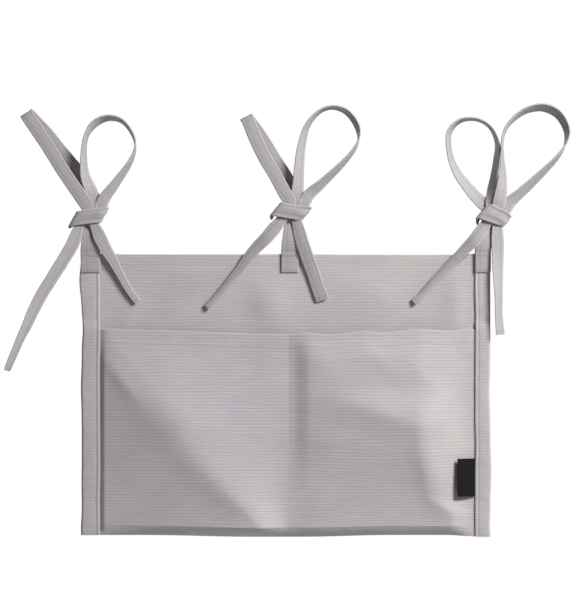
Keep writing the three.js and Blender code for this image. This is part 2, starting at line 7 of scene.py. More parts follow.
import bpy
import numpy as np
from bpy.props import FloatProperty, FloatVectorProperty, PointerProperty
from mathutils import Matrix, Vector


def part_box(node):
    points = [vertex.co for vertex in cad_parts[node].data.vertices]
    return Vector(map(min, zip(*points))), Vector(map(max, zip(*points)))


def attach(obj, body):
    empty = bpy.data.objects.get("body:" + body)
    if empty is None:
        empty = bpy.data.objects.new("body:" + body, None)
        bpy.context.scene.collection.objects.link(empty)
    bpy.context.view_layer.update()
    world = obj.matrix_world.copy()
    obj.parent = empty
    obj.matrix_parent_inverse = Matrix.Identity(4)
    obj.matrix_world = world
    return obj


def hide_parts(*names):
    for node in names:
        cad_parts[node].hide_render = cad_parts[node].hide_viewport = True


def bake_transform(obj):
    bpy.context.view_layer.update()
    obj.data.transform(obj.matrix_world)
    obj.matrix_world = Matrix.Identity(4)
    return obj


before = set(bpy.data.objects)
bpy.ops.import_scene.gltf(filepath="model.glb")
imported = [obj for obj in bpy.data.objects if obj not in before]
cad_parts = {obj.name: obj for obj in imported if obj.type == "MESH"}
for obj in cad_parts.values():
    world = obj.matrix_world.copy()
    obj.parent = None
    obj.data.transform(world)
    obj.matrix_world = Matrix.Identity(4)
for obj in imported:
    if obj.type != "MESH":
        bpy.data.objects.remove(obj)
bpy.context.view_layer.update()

bl_info = {
    "name": "Crib organizer",
    "version": (1, 0, 0),
    "blender": (4, 5, 0),
    "location": "View3D > Sidebar > Organizer",
    "description": "Builds the cloth, straps, stitching and studio of a tie-on crib organizer",
    "category": "Mesh",
}

MM = 0.001
UV_NAME = "cloth"
# The seams layer holds the distances along which the canvas paints a highlight and shade
SEAM_NAME = "seams"
EAST = np.array([1.0, 0.0, 0.0])
UP = np.array([0.0, 0.0, 1.0])
FRONT = np.array([0.0, -1.0, 0.0])


def box_mm(node):
    """Lowest and highest corner of a solid of the frame, in millimetres."""
    low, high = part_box(node)
    return np.array(low) / MM, np.array(high) / MM


PANEL_LOW, PANEL_HIGH = box_mm("back_panel")
LEFT_LOW, LEFT_HIGH = box_mm("side_binding_left")
RIGHT_LOW, RIGHT_HIGH = box_mm("side_binding_right")
FOLD_LOW, FOLD_HIGH = box_mm("pocket_bottom_fold")
LABEL_LOW, LABEL_HIGH = box_mm("side_label")
PANEL_TOP = PANEL_HIGH[2]
PANEL_BOTTOM = PANEL_LOW[2]
LEFT_EDGE, LEFT_SEAM = LEFT_LOW[0], LEFT_HIGH[0]
RIGHT_SEAM, RIGHT_EDGE = RIGHT_LOW[0], RIGHT_HIGH[0]
FOLD_TOP = FOLD_HIGH[2]

# Sewing: the gap between pieces, the stitches, a distance that is far from every seam, the two finishes of
# a piece and the angle past which an edge of its mesh is sharp
GAP = 0.3
STITCH_PITCH = 3.2
STITCH_LENGTH = 2.3
STITCH_RADIUS = 0.32
FAR = 50.0
CANVAS_FINISH = 0
THREAD_FINISH = 1
SHARP_DEGREES = 38.0

# Pockets: the mouth, the seam between them, how far the sewn cloth's face is from the panel's middle, and
# the height from which the drag lines run down
MOUTH_DROP = 92.0
MOUTH_LEVEL = PANEL_TOP - MOUTH_DROP
MOUTH_DIP = 6.0
MOUTH_WAVE = 1.5
MOUTH_WAVE_LENGTH = 70.0
DIVIDER_X = 3.5
SEWN_FACE = 2.5
DRAG_TOP = -122.0

# Straps: the places on the y axis of a knot's four layers and of the tails, the cloth of a knot, the round
# edge, the share of the width from the middle to a shallow groove and from the edge to the stitches, the
# same two shares on a knot's band, the tab's height, and a knot's crossing laid flat
LAYERS = (1.25, -1.25, -3.75, -6.25)
KNOT_CLOTH = 2.2
STRAP_RIM = 1.25
GROOVE_AT = 0.31
SEAM_AT = 0.31
BAND_SEAM_AT = 0.3
TAB_HEIGHT = 23.0

# The bows, seen from each knot's centre. A course is rows of x, z, y, roll in degrees and, where the strap
# is creased along its length, the share of its width that shows. Roll 0 lies flat to the front and 90
# stands on edge. "fixed" keeps the width of a folded loop in one direction instead. "tab" is the middle and
# width of the sewn tab, "shift" how far the strap's top is beside the knot's middle, and "depth" how far
# the tab is in front of the panel's middle. A band has half its width, its height, its slope, its lean with
# the height, and the shares of its height by which a hood stands over it and an end hangs below it.
BOWS = {
    "left": {
        "tab": (-238.75, 24.2), "knot": (-240.75, 28.0), "shift": 0.0, "depth": 3.7,
        "band": {"half": 20.2, "height": 19.0, "slope": 0.13, "lean": 0.55, "drop": 0.12},
        "left_loop": {"fixed": 32.0, "course": (
            (1, 0, -6.25, 0), (-2, 12, -6.5, 0), (-10, 25, -8.2, 0), (-24.5, 46, -9, 0), (-46, 80, -8.5, 0),
            (-67, 111.5, -8, 0), (-75, 123.6, -6.6, 0), (-76.2, 126, -3, 0), (-72.5, 124, 1, 0),
            (-54.8, 105, 3.4, 0), (-32.8, 78, 4.4, 0), (-16, 58, 4.6, 0), (-2.5, 38.5, 4, 0),
            (5.5, 22, 2.2, 0), (7, 12, 1.25, 0), (8, 0, 1.25, 0))},
        "right_loop": {"course": (
            (1, 0, -3.75, 0), (2.5, 14, -3.75, 1), (3, 30, -3.9, 22), (-4.5, 50, -5, 49),
            (-6.2, 74, -4.5, 68), (-3.5, 98, -4, 76), (7.4, 114, -3.5, 62), (25, 121, -3, 68),
            (43.5, 114.5, -3, 77), (56.3, 92, -3, 84), (51.5, 69, -3, 104), (32, 40, -2.5, 128),
            (18.5, 22, -1.8, 150), (9, 0, -1.25, 180))},
        "left_tail": (
            (-10, 0, -5.25, 174), (-20.5, -35, -8.5, 164), (-41.3, -69.5, -9.5, 152),
            (-56, -93.5, -10, 149), (-67.6, -115, -10, 142), (-75, -132, -10, 133), (-82.7, -148, -10, 122),
            (-99.6, -188, -10, 112)),
        "right_tail": (
            (4.5, 0, -5.25, 176), (13.2, -24, -8.2, 174), (21.5, -40, -7.0, 172, 0.9),
            (28, -51, -5.6, 172, 0.8), (37, -68, -4.4, 172, 0.65), (45, -83, -4.1, 170, 0.57),
            (52, -94, -4.1, 168, 0.53), (60, -104, -4.1, 166, 0.55)),
    },
    "centre": {
        "tab": (4.8, 21.6), "knot": (6.4, 34.6), "shift": -1.0, "depth": 2.2,
        "band": {"half": 19.8, "height": 16.2, "slope": -0.16, "lean": 0.8, "drop": 0.3},
        "left_loop": {"fixed": 26.0, "course": (
            (1, 0, -6.25, 0), (-2, 12, -6.25, 0), (-8.5, 23, -8, 0), (-18.5, 42, -9, 0),
            (-32.8, 66.6, -8.5, 0), (-46.8, 96.6, -8, 0), (-52.8, 111, -6.8, 0), (-55, 114.6, -3, 0),
            (-52.6, 112.6, 1, 0), (-38.8, 94, 3.4, 0), (-27.8, 77, 4.4, 0), (-17, 58.5, 4.6, 0),
            (-4.5, 38.5, 4, 0), (2.5, 22, 2.2, 0), (4, 12, 1.25, 0), (5, 0, 1.25, 0))},
        "right_loop": {"course": (
            (5, 0, -3.75, 0), (6, 13, -3.75, 3), (7.7, 28, -4.6, 27), (9.6, 52, -5, 43), (12.2, 77, -5, 53),
            (19.2, 103.4, -4.5, 68), (33.6, 121.2, -4, 78), (51, 127, -3.5, 77), (68.8, 120.5, -3, 70),
            (81.2, 102, -3, 71), (80.4, 82, -3, 96), (63.3, 59, -3, 112), (37.3, 34.2, -2.5, 130),
            (21, 19.6, -1.8, 152), (12, 0, -1.25, 180))},
        "left_tail": (
            (-6, 0, -5.25, 6), (-29, -30.5, -7.6, 14), (-42, -44, -6.6, 18, 0.92),
            (-53, -57, -5.8, 18, 0.8), (-61, -68, -5.1, 18, 0.71), (-70, -79, -4.7, 18, 0.63),
            (-90, -103, -4.3, 18, 0.52), (-104, -118, -4.3, 16, 0.5)),
        "right_tail": ((5, 0, -5.25, 8), (14.5, -41, -7, 8), (26, -74, -4.7, 7), (38.4, -108.5, -4.1, 7)),
    },
    "right": {
        "tab": (240.5, 19.2), "knot": (254.4, 28.0), "shift": -7.5, "depth": 3.7,
        "band": {"half": 16.8, "height": 14.0, "slope": -0.34, "lean": 0.8, "hood": 0.3, "drop": 0.55},
        "left_loop": {"course": (
            (5, 0, 1.25, 0), (-1, 7, 1.25, 4), (-13, 15.6, 0.5, 12), (-25.8, 28.8, -1, 28),
            (-37.4, 42.6, -2.5, 41), (-46.5, 55.8, -3.5, 52), (-54.2, 76, -4, 66), (-55.2, 102, -4, 68),
            (-42, 117, -4, 76), (-22, 119, -4, 82), (-5, 109.4, -4, 82), (3.8, 90, -3.8, 75),
            (2.4, 68, -3.8, 67), (-0.8, 46, -3.8, 59), (-2.6, 25, -3.8, 30), (-3, 12, -3.75, 6),
            (-2, 0, -3.75, 0))},
        "right_loop": {"course": (
            (4, 0, -6.25, 0), (5, 13, -6.25, 0), (7, 24, -6.5, 14), (8.8, 36, -6.9, 32),
            (9.8, 54, -6.9, 58), (9.8, 70, -6.5, 75), (9.6, 88, -6, 82), (12.2, 103.6, -5.5, 80),
            (21.6, 117.6, -5, 74), (38.4, 129.8, -4, 66), (59.4, 133.6, -3, 57), (79.2, 124, -3, 57),
            (89.2, 103, -3, 69), (82.4, 80, -3, 100), (60.6, 55.6, -2.5, 120), (32.5, 29.6, -2, 138),
            (18, 16, -1.6, 160), (12, 0, -1.25, 180))},
        "left_tail": (
            (-4.5, 0, -5.25, 8), (-24, -27.6, -8.4, 20), (-35, -38.6, -7.2, 24, 0.87),
            (-49, -52.6, -6, 24, 0.7), (-64, -68.6, -5.1, 22, 0.58), (-78, -83.4, -4.7, 22, 0.53),
            (-89, -95.2, -4.5, 20, 0.51), (-99.4, -104.6, -4.5, 18, 0.51)),
        "right_tail": (
            (4, 0, -5.25, 176), (3.9, -22, -6.4, 168), (3.8, -46, -6.2, 158), (4.4, -71, -6.4, 140),
            (5.1, -95, -6.8, 128), (5.3, -120, -7, 124), (7, -144, -7, 132)),
    },
}

# Soft folds of the cloth: x and z of the middle, direction in degrees, half length, half width and height
PANEL_FOLDS = (
    (-21, -76, 88, 24, 22, 1.9), (-120, -45, 15, 60, 18, 0.7), (90, -60, 160, 70, 22, 0.8),
    (208, -74, 82, 30, 16, 1.2), (-190, -90, 60, 30, 14, 0.6), (-135, -90, 30, 34, 10, 0.5),
)
POCKET_FOLDS = (
    (-200, -172, -52, 34, 9, 1.3), (-118, -262, -47, 60, 20, 1.7), (-72, -312, -42, 48, 18, 1.5),
    (178, -296, -74, 48, 16, 1.9), (120, -150, -38, 42, 12, 0.9), (165, -165, -42, 36, 10, 0.8),
    (-110, -160, 8, 80, 26, 0.8), (40, -322, 70, 50, 16, 1.0), (70, -248, -8, 70, 16, 1.0),
)

# Pulls along the two side edges: how far to the right, at what height and over what reach
LEFT_PULLS = ((-2.9, -48, 21), (1.3, -108, 16), (-0.7, -182, 30), (-0.8, -352, 14))
RIGHT_PULLS = ((-1.2, -185, 28), (0.9, -278, 26), (-0.7, -350, 14))


# Shape functions

def smooth(t):
    """Rises from 0 to 1 as t does, level at both ends: three t squared less two t cubed."""
    t = np.clip(t, 0.0, 1.0)
    return t * t * (3.0 - 2.0 * t)


def bell(t, middle, width):
    """A bell curve: e to the power of minus the square of the way from the middle over the width."""
    return np.exp(-(((t - middle) / width) ** 2))


def blend_between(a, b, t):
    """From a to b in a straight line as t goes from 0 to 1."""
    return a + (b - a) * t


def wave(t, seed):
    """A smooth irregular line near -1 to 1: three sines whose lengths and phases follow from the seed,
    added up."""
    total = np.zeros_like(np.asarray(t, float))
    for k in range(3):
        total += np.sin(t * (1.0 + 0.83 * k) + 2.4 * seed + 1.7 * k * seed) / (1.0 + 0.8 * k)
    return total / 1.9


def between_seams(x, reach):
    """1 between the two side seams, with a soft step down to 0 at each over the reach."""
    return smooth((x - LEFT_SEAM) / reach) * smooth((RIGHT_SEAM - x) / reach)


def rounded(near, rim, least=0.0):
    """How full cloth is at a distance from its edge: a quarter ellipse over the rim, whose square is never
    below least."""
    return np.sqrt(np.clip(1.0 - (1.0 - np.clip(near / rim, 0, 1)) ** 2, least, 1))


def soft_folds(x, z, folds):
    """Height of a set of folds: each is its own height times a bell curve across it and a wider one along
    it."""
    total = np.zeros_like(x)
    for x0, z0, turn, along, across, height in folds:
        c, s = math.cos(math.radians(turn)), math.sin(math.radians(turn))
        a = (x - x0) * c + (z - z0) * s
        p = -(x - x0) * s + (z - z0) * c
        total += height * bell(p, 0, across) * bell(a, 0, along)
    return total


def spline(points, steps):
    """A Catmull-Rom curve through rows of numbers, steps to each span, with its slope. Each span is the
    usual cubic of the two points round it, and a mirrored point stands beyond each end."""
    p = np.asarray(points, float)
    p = np.vstack([2 * p[0] - p[1], p, 2 * p[-1] - p[-2]])
    at = np.linspace(0, len(p) - 3, (len(p) - 3) * steps + 1)
    i = np.minimum(at.astype(int), len(p) - 4)
    t = (at - i)[:, None]
    a, b, c, d = p[i], p[i + 1], p[i + 2], p[i + 3]
    c1, c2, c3 = c - a, 2 * a - 5 * b + 4 * c - d, 3 * b - 3 * c + d - a
    return b + 0.5 * (c1 * t + c2 * t**2 + c3 * t**3), 0.5 * (c1 + 2 * c2 * t + 3 * c3 * t**2)


def unit(v):
    """Each direction divided by its own length."""
    return v / np.maximum(np.linalg.norm(v, axis=-1, keepdims=True), 1e-12)


def travelled(points):
    """Length of the way along rows of points up to each one."""
    return np.concatenate([[0.0], np.cumsum(np.linalg.norm(np.diff(points, axis=0), axis=1))])


def places(*parts):
    """Places made of their parts, each a number or an array that is repeated to fit the others."""
    return np.stack(np.broadcast_arrays(*parts), -1)


def closed(rows):
    """Each row with its first entry again at its end."""
    return np.concatenate([rows, rows[:, :1]], 1)


def there_and_back(rows):
    """Each row followed by itself backwards."""
    return np.concatenate([rows, rows[:, ::-1]], 1)


def cells(grid):
    """The four corners of each cell of a grid, in their order round it."""
    return np.stack([grid[:-1, :-1], grid[:-1, 1:], grid[1:, 1:], grid[1:, :-1]], 2)


def thin_ends(count, least):
    """A row of count ones that starts and ends with least."""
    return np.concatenate([[least], np.ones(count - 2), [least]])


def both_faces(line, half):
    """The two faces of a cloth whose middle is a line in each section: the line moved by half to either
    side."""
    way = unit(np.gradient(line, axis=1))
    aside = places(-way[..., 1], way[..., 0]) * half[..., None]
    return np.concatenate([line + aside, (line - aside)[:, ::-1]], 1)


def pulled(z, pulls):
    """How far a side edge is pulled at a height: the sum of its pulls, each a bell curve of the height."""
    return sum(far * bell(z, at, reach) for far, at, reach in pulls)


def as_hung(points):
    """Pulls the panel and all that is sewn to it out of true, as cloth hangs: the bottom edge rises at the
    left and under the right pocket, the top edge sags between the ties, and the side edges swing in and
    out. Each pull is a sum of bell curves or soft steps along the edge and fades out within the cloth."""
    x, z = points[:, 0].copy(), points[:, 2].copy()
    rise = 2.1 * smooth((-40 - x) / 130) + 2.2 * smooth((x - 20) / 110) * smooth((245 - x) / 55)
    between_ties = smooth((x + 222) / 30) * smooth((225 - x) / 20) * (1 - bell(x, 4.8, 18))
    sag = between_ties * (0.85 + 0.35 * smooth(x / 120))
    points[:, 2] += rise * smooth((PANEL_BOTTOM + 60 - z) / 60) - sag * smooth((z - PANEL_TOP + 30) / 30)
    points[:, 0] += pulled(z, LEFT_PULLS) * smooth((LEFT_SEAM - x) / (LEFT_SEAM - LEFT_EDGE))
    points[:, 0] += pulled(z, RIGHT_PULLS) * smooth((x - RIGHT_SEAM) / (RIGHT_EDGE - RIGHT_SEAM))
    return points


# Mesh making

class Cloth:
    """One piece's corners, four-sided faces, cloth coordinates and finishes, gathered part by part."""

    def __init__(self, sewn_to_panel=False):
        self.sewn_to_panel = sewn_to_panel
        self.points, self.quads, self.uvs, self.seams, self.finishes, self.count = [], [], [], [], [], 0

    def add(self, points, quads, uvs, finish, seams=None):
        """quads counts from this part's first corner. uvs holds a place on the cloth in millimetres for each
        face corner, and seams the distance from a line the canvas paints paler, a painted highlight along a
        folded edge, and from a line it paints darker, painted shade along a sewn line or gap, or nothing
        where there is neither. The sum of the faces' volumes over the origin tells whether they face
        outwards."""
        points = points.reshape(-1, 3)
        a, b, c, d = (points[quads[:, k]] for k in range(4))
        if np.einsum("ij,ij->", a, np.cross(b, c) + np.cross(c, d)) < 0:
            quads, uvs = quads[:, ::-1], uvs[:, ::-1]
            seams = None if seams is None else seams[:, ::-1]
        self.seams.append(np.full_like(uvs, FAR) if seams is None else seams)
        self.points.append(points)
        self.quads.append(quads + self.count)
        self.uvs.append(uvs)
        self.finishes.append(np.full(len(quads), finish, np.int32))
        self.count += len(points)

    def loft(self, rings, uv, seams=None, round_trip=False):
        """Joins rings of the same number of corners by four-sided faces. The first half of a ring is one
        face of the cloth and the second half the other, backwards, so each end is closed by a row of faces
        between them. With round_trip the last ring joins the first and there are no ends."""
        n, m = rings.shape[:2]
        index = np.arange(n * m).reshape(n, m)
        if round_trip:
            index = np.vstack([index, index[:1]])
        quads = cells(closed(index)).reshape(-1, 4)
        j = np.arange(m // 2 - 1)
        first = np.stack([j, m - 1 - j, m - 2 - j, j + 1], -1)
        if not round_trip:
            quads = np.vstack([quads, first, first[:, ::-1] + (n - 1) * m])

        def at_corners(values):
            each = cells(values).reshape(-1, 4, 2)
            if round_trip:
                return each
            flat = np.vstack([values[0, :-1], values[-1, :-1]])
            return np.vstack([each, flat[first], flat[first[:, ::-1] + m]])

        self.add(rings, quads, at_corners(uv), CANVAS_FINISH, None if seams is None else at_corners(seams))

    def stitches(self, middle, along, out):
        """A row of sewn threads, each a short six-sided spindle along the row with four rings. Its rings
        are slim at both ends and wider than high, and its back is raised by a parabola, highest in the
        middle."""
        along, out = (np.broadcast_to(unit(way), middle.shape)[:, None, None] for way in (along, out))
        t = np.array([-1.0, -0.72, 0.72, 1.0])[:, None]
        slim = np.array([0.3, 1.0, 1.0, 0.3])[:, None] * STITCH_RADIUS
        turn = np.radians([0, 60, 120, 180, 240, 300])
        sideways = 1.3 * slim * np.cos(turn)
        outwards = slim * np.sin(turn) + (0.3 - 0.35 * t**2) * STITCH_RADIUS
        place = (
            middle[:, None, None] + along * (t * STITCH_LENGTH / 2)[..., None]
            + np.cross(along, out) * sideways[..., None] + out * outwards[..., None])
        corners = t.size * turn.size
        ends = np.array([[0, 5, 4, 1], [1, 4, 3, 2], [19, 22, 23, 18], [20, 21, 22, 19]])
        index = np.arange(corners).reshape(t.size, turn.size)
        quads = np.vstack([cells(closed(index)).reshape(-1, 4), ends])
        every = (quads + corners * np.arange(len(middle))[:, None, None]).reshape(-1, 4)
        self.add(place, every, places(0.0, 0.4 * (every // turn.size)), THREAD_FINISH)

    def piece(self, name, materials):
        """Puts the arrays into a mesh in metres, smooth apart from its sharp edges, and links it to the
        scene."""
        points = np.concatenate(self.points)
        points = (as_hung(points) if self.sewn_to_panel else points) * MM
        quads = np.concatenate(self.quads).astype(np.int32)
        mesh = bpy.data.meshes.new(name)
        mesh.vertices.add(len(points))
        mesh.loops.add(quads.size)
        mesh.polygons.add(len(quads))
        mesh.vertices.foreach_set("co", points.astype(np.float32).ravel())
        mesh.loops.foreach_set("vertex_index", quads.ravel())
        mesh.polygons.foreach_set("loop_start", np.arange(0, quads.size, 4, dtype=np.int32))
        mesh.polygons.foreach_set("material_index", np.concatenate(self.finishes))
        for layer_name, values in ((UV_NAME, self.uvs), (SEAM_NAME, self.seams)):
            layer = mesh.uv_layers.new(name=layer_name)
            layer.data.foreach_set("uv", (np.concatenate(values) * MM).astype(np.float32).ravel())
        for material in materials:
            mesh.materials.append(material)
        mesh.update(calc_edges=True)
        if mesh.validate():
            raise RuntimeError(f"the mesh of {name} has faulty faces")
        mesh.shade_smooth()
        mesh.set_sharp_from_angle(angle=math.radians(SHARP_DEGREES))
        piece = bpy.data.objects.new(name, mesh)
        bpy.context.scene.collection.objects.link(piece)
        return piece


def sheet_rings(x, z, front, back):
    """Closed slices of a sheet of cloth: for each column the front from bottom to top, then the back
    downwards. x, z, front and back are arrays of columns by rows, and front and back are places on the y
    axis."""
    rings = np.concatenate([places(x, front, z), places(x, back, z)[:, ::-1]], 1)
    return rings, closed(rings[..., [0, 2]])


def rounded_rim(span, count, rim):
    """Places from 0 to span, closer together within the rim at both ends, and how full the cloth is at each
    one. The fullness is a quarter ellipse over the rim, so the edge of the cloth is round."""
    ends = rim * (1.0 - np.cos(np.linspace(0, math.pi / 2, 5)))
    middle = np.linspace(rim, span - rim, count)[1:-1]
    at = np.concatenate([ends, middle, span - ends[::-1]])
    return at, np.maximum(rounded(np.minimum(at, span - at), rim), 0.12)


def strap_section(width, thickness, groove_at=GROOVE_AT, count=19):
    """A folded and stitched strap's section at each of n widths: two faces, a quarter ellipse at both long
    edges, crowned by a parabola, with a bell-shaped groove in both at groove_at of the width past the
    middle. Returns (n, 2 count, 2) and the places across."""
    w = width[:, None]
    ends = STRAP_RIM * (1.0 - np.cos(np.linspace(0, math.pi / 2, 5)))
    middle = np.linspace(0, 1, count - 8)[1:-1]
    across = np.concatenate([ends + 0 * w, STRAP_RIM + (w - 2 * STRAP_RIM) * middle, w - ends[::-1]], 1)
    full = rounded(np.minimum(across, w - across), STRAP_RIM)
    side = across / w - 0.5
    lift = thickness / 2 * np.maximum(full, 0.1) * (1.0 + 0.10 * (1 - 4 * side**2))
    lift = lift - 0.38 * bell(side * w, groove_at * w, 0.9) * (full > 0.9)
    front, back = places(across - w / 2, lift), places(across - w / 2, -lift)
    return np.concatenate([front, back[:, ::-1]], 1), across


def strap_frame(course, slope, roll, fixed=None):
    """Directions along, across and through a strap at each point of its course. Across starts in the
    panel's plane, to the left of the course, and is turned towards the front by the roll, or it keeps a
    fixed direction. It is then made square to the course, and through is square to both."""
    along = unit(slope)
    if fixed is None:
        r = np.radians(roll)[:, None]
        across = unit(places(-along[:, 2], 0.0, along[:, 0])) * np.cos(r) + FRONT * np.sin(r)
    else:
        turn = math.radians(fixed)
        across = EAST * math.cos(turn) + UP * math.sin(turn)
    across = unit(across - along * np.sum(across * along, 1, keepdims=True))
    return along, across, unit(np.cross(along, across))


def round_end(left):
    """How full a strap is where left is the way to its free end."""
    return rounded(left, 1.4, 0.05)


def strap_seams(way, width, across, tip, start_tip, rows_at):
    """Distance from a strap's folded edge and from its nearest sewn line, at each place round both
    faces: the canvas paints a highlight along the edge and shade along the sewn line."""
    near = np.minimum(across, width[:, None] - across)
    if tip:
        near = np.minimum(near, (way[-1] - way)[:, None])
    if start_tip:
        near = np.minimum(near, way[:, None])
    sewn_at = np.abs(across - SEAM_AT * width[:, None])
    for at in rows_at:
        sewn_at = np.minimum(sewn_at, np.abs(way - (at if at > 0 else way[-1] + at))[:, None])
    return closed(there_and_back(places(near, sewn_at)))


def add_strap(cloth, points, centre, width_at, thickness, seed, fixed=None, steps=14, tip=False,
              start_tip=False, sewn=(8.0, 8.0), ridge=None, rows_at=()):
    """Carries the strap's section along a smooth course and returns its length. Its width is width_at(way
    along, whole length), its edges wander by a quarter of a millimetre, a free end is round, and a row of
    threads lies on both faces, from sewn[0] to sewn[1] before the end. A ridge is a thicker fold across the
    strap at that way along it. Rows sewn across it lie at rows_at, those below zero counted from its
    end."""
    rows = np.array([(x, y, z, roll, *(share or (1.0,))) for x, z, y, roll, *share in points], float)
    place, slope = spline(rows, steps)
    course, roll, share = place[:, :3] + centre, place[:, 3], place[:, 4]
    along, across, through = strap_frame(course, slope[:, :3], roll, fixed)
    way = travelled(course)
    width = (width_at(way, way[-1]) + 0.22 * wave(way / 9.0, seed)) * share
    full = 1.0 + 0.7 * (1.0 - share)
    if tip:
        full = full * round_end(way[-1] - way)
    if start_tip:
        full = full * round_end(way)
    section, across_mm = strap_section(width, thickness)
    if ridge is not None:
        section[..., 1] *= 1 + 0.55 * bell(way, ridge, 0.9)[:, None]
    shift = 0.3 * wave(way / 14.0, seed + 3.0)
    rings = (
        course[:, None] + across[:, None] * (section[..., :1] + shift[:, None, None])
        + through[:, None] * section[..., 1:] * full[:, None, None])
    round_both = np.concatenate([across_mm, 2 * width[:, None] - across_mm[:, ::-1], 2 * width[:, None]], 1)
    seams = strap_seams(way, width, across_mm, tip, start_tip, rows_at)
    cloth.loft(rings, places(round_both, way[:, None]), seams)

    at = np.arange(sewn[0], way[-1] - sewn[1], STITCH_PITCH)
    middle, ahead, aside, outwards = (
        np.stack([np.interp(at, way, column) for column in part.T], -1)
        for part in (course, along, across, through))
    seam = middle + aside * np.interp(at, way, width * (SEAM_AT - 0.5) + shift)[:, None]
    lift = outwards * (0.78 * thickness / 2 * np.interp(at, way, full))[:, None]
    cloth.stitches(seam + lift, ahead, outwards)
    cloth.stitches(seam - lift, ahead, -outwards)
    return way[-1]


# Materials

class Nodes:
    """Short ways to add and join the nodes of one material."""

    def __init__(self, material):
        self.tree = material.node_tree
        self.tree.nodes.clear()

    def add(self, kind, inputs=None, **settings):
        node = self.tree.nodes.new(kind)
        for name, value in settings.items():
            setattr(node, name, value)
        for name, value in (inputs or {}).items():
            socket = node.inputs[name]
            if isinstance(value, bpy.types.NodeSocket):
                self.tree.links.new(value, socket)
            else:
                socket.default_value = value
        return node

    def math(self, operation, a, b=0.0, c=0.0):
        return self.add("ShaderNodeMath", {0: a, 1: b, 2: c}, operation=operation).outputs[0]

    def sine(self, value, length):
        """A sine of a place, with that length of a wave."""
        return self.math("SINE", self.math("MULTIPLY", value, 2 * math.pi / length))

    def mix(self, share, a, b, kind="MIX"):
        inputs = {0: share, 6: a, 7: b}
        return self.add("ShaderNodeMix", inputs, data_type="RGBA", blend_type=kind).outputs[2]

    def ranged(self, value, low, high, at_low=0.0, at_high=1.0):
        inputs = {"Value": value, "From Min": low, "From Max": high, "To Min": at_low, "To Max": at_high}
        return self.add("ShaderNodeMapRange", inputs).outputs[0]

    def noise(self, vector, scale, detail=2.0, rough=0.5):
        inputs = {"Vector": vector, "Scale": scale, "Detail": detail, "Roughness": rough}
        return self.add("ShaderNodeTexNoise", inputs, noise_dimensions="3D").outputs[0]

    def stretched_noise(self, vector, across, up, detail=2.0, rough=0.5):
        """Noise with its own number of waves to a metre in each direction of the cloth."""
        stretched = self.add("ShaderNodeMapping", {"Vector": vector, "Scale": (across, up, 1.0)}).outputs[0]
        return self.noise(stretched, 1.0, detail, rough)

    def on_cloth(self, layer):
        """A layer's coordinates of the cloth, and their two parts."""
        uv = self.add("ShaderNodeUVMap", uv_map=layer).outputs[0]
        return uv, self.add("ShaderNodeSeparateXYZ", {0: uv}).outputs

    def seen_directly(self):
        """1 for the camera's own rays and for those of mirrors and glass, and 0 for light."""
        path = self.add("ShaderNodeLightPath")
        seen = self.math("MAXIMUM", path.outputs["Is Camera Ray"], path.outputs["Is Glossy Ray"])
        return self.math("MAXIMUM", seen, path.outputs["Is Transmission Ray"])

    def surface(self, base, roughness, gloss, sheen, sheen_roughness, more):
        inputs = {
            "Base Color": base, "Roughness": roughness, "Specular IOR Level": gloss, "Sheen Weight": sheen,
            "Sheen Roughness": sheen_roughness, **more}
        shader = self.add("ShaderNodeBsdfPrincipled", inputs)
        self.add("ShaderNodeOutputMaterial", {0: shader.outputs[0]})


def new_material(name):
    """An empty node material and the short ways to fill it."""
    material = bpy.data.materials.new(name)
    material.use_nodes = True
    return material, Nodes(material)


def colour4(value, level=1.0):
    """A colour times a level, with its fourth number."""
    return (value[0] * level, value[1] * level, value[2] * level, 1.0)


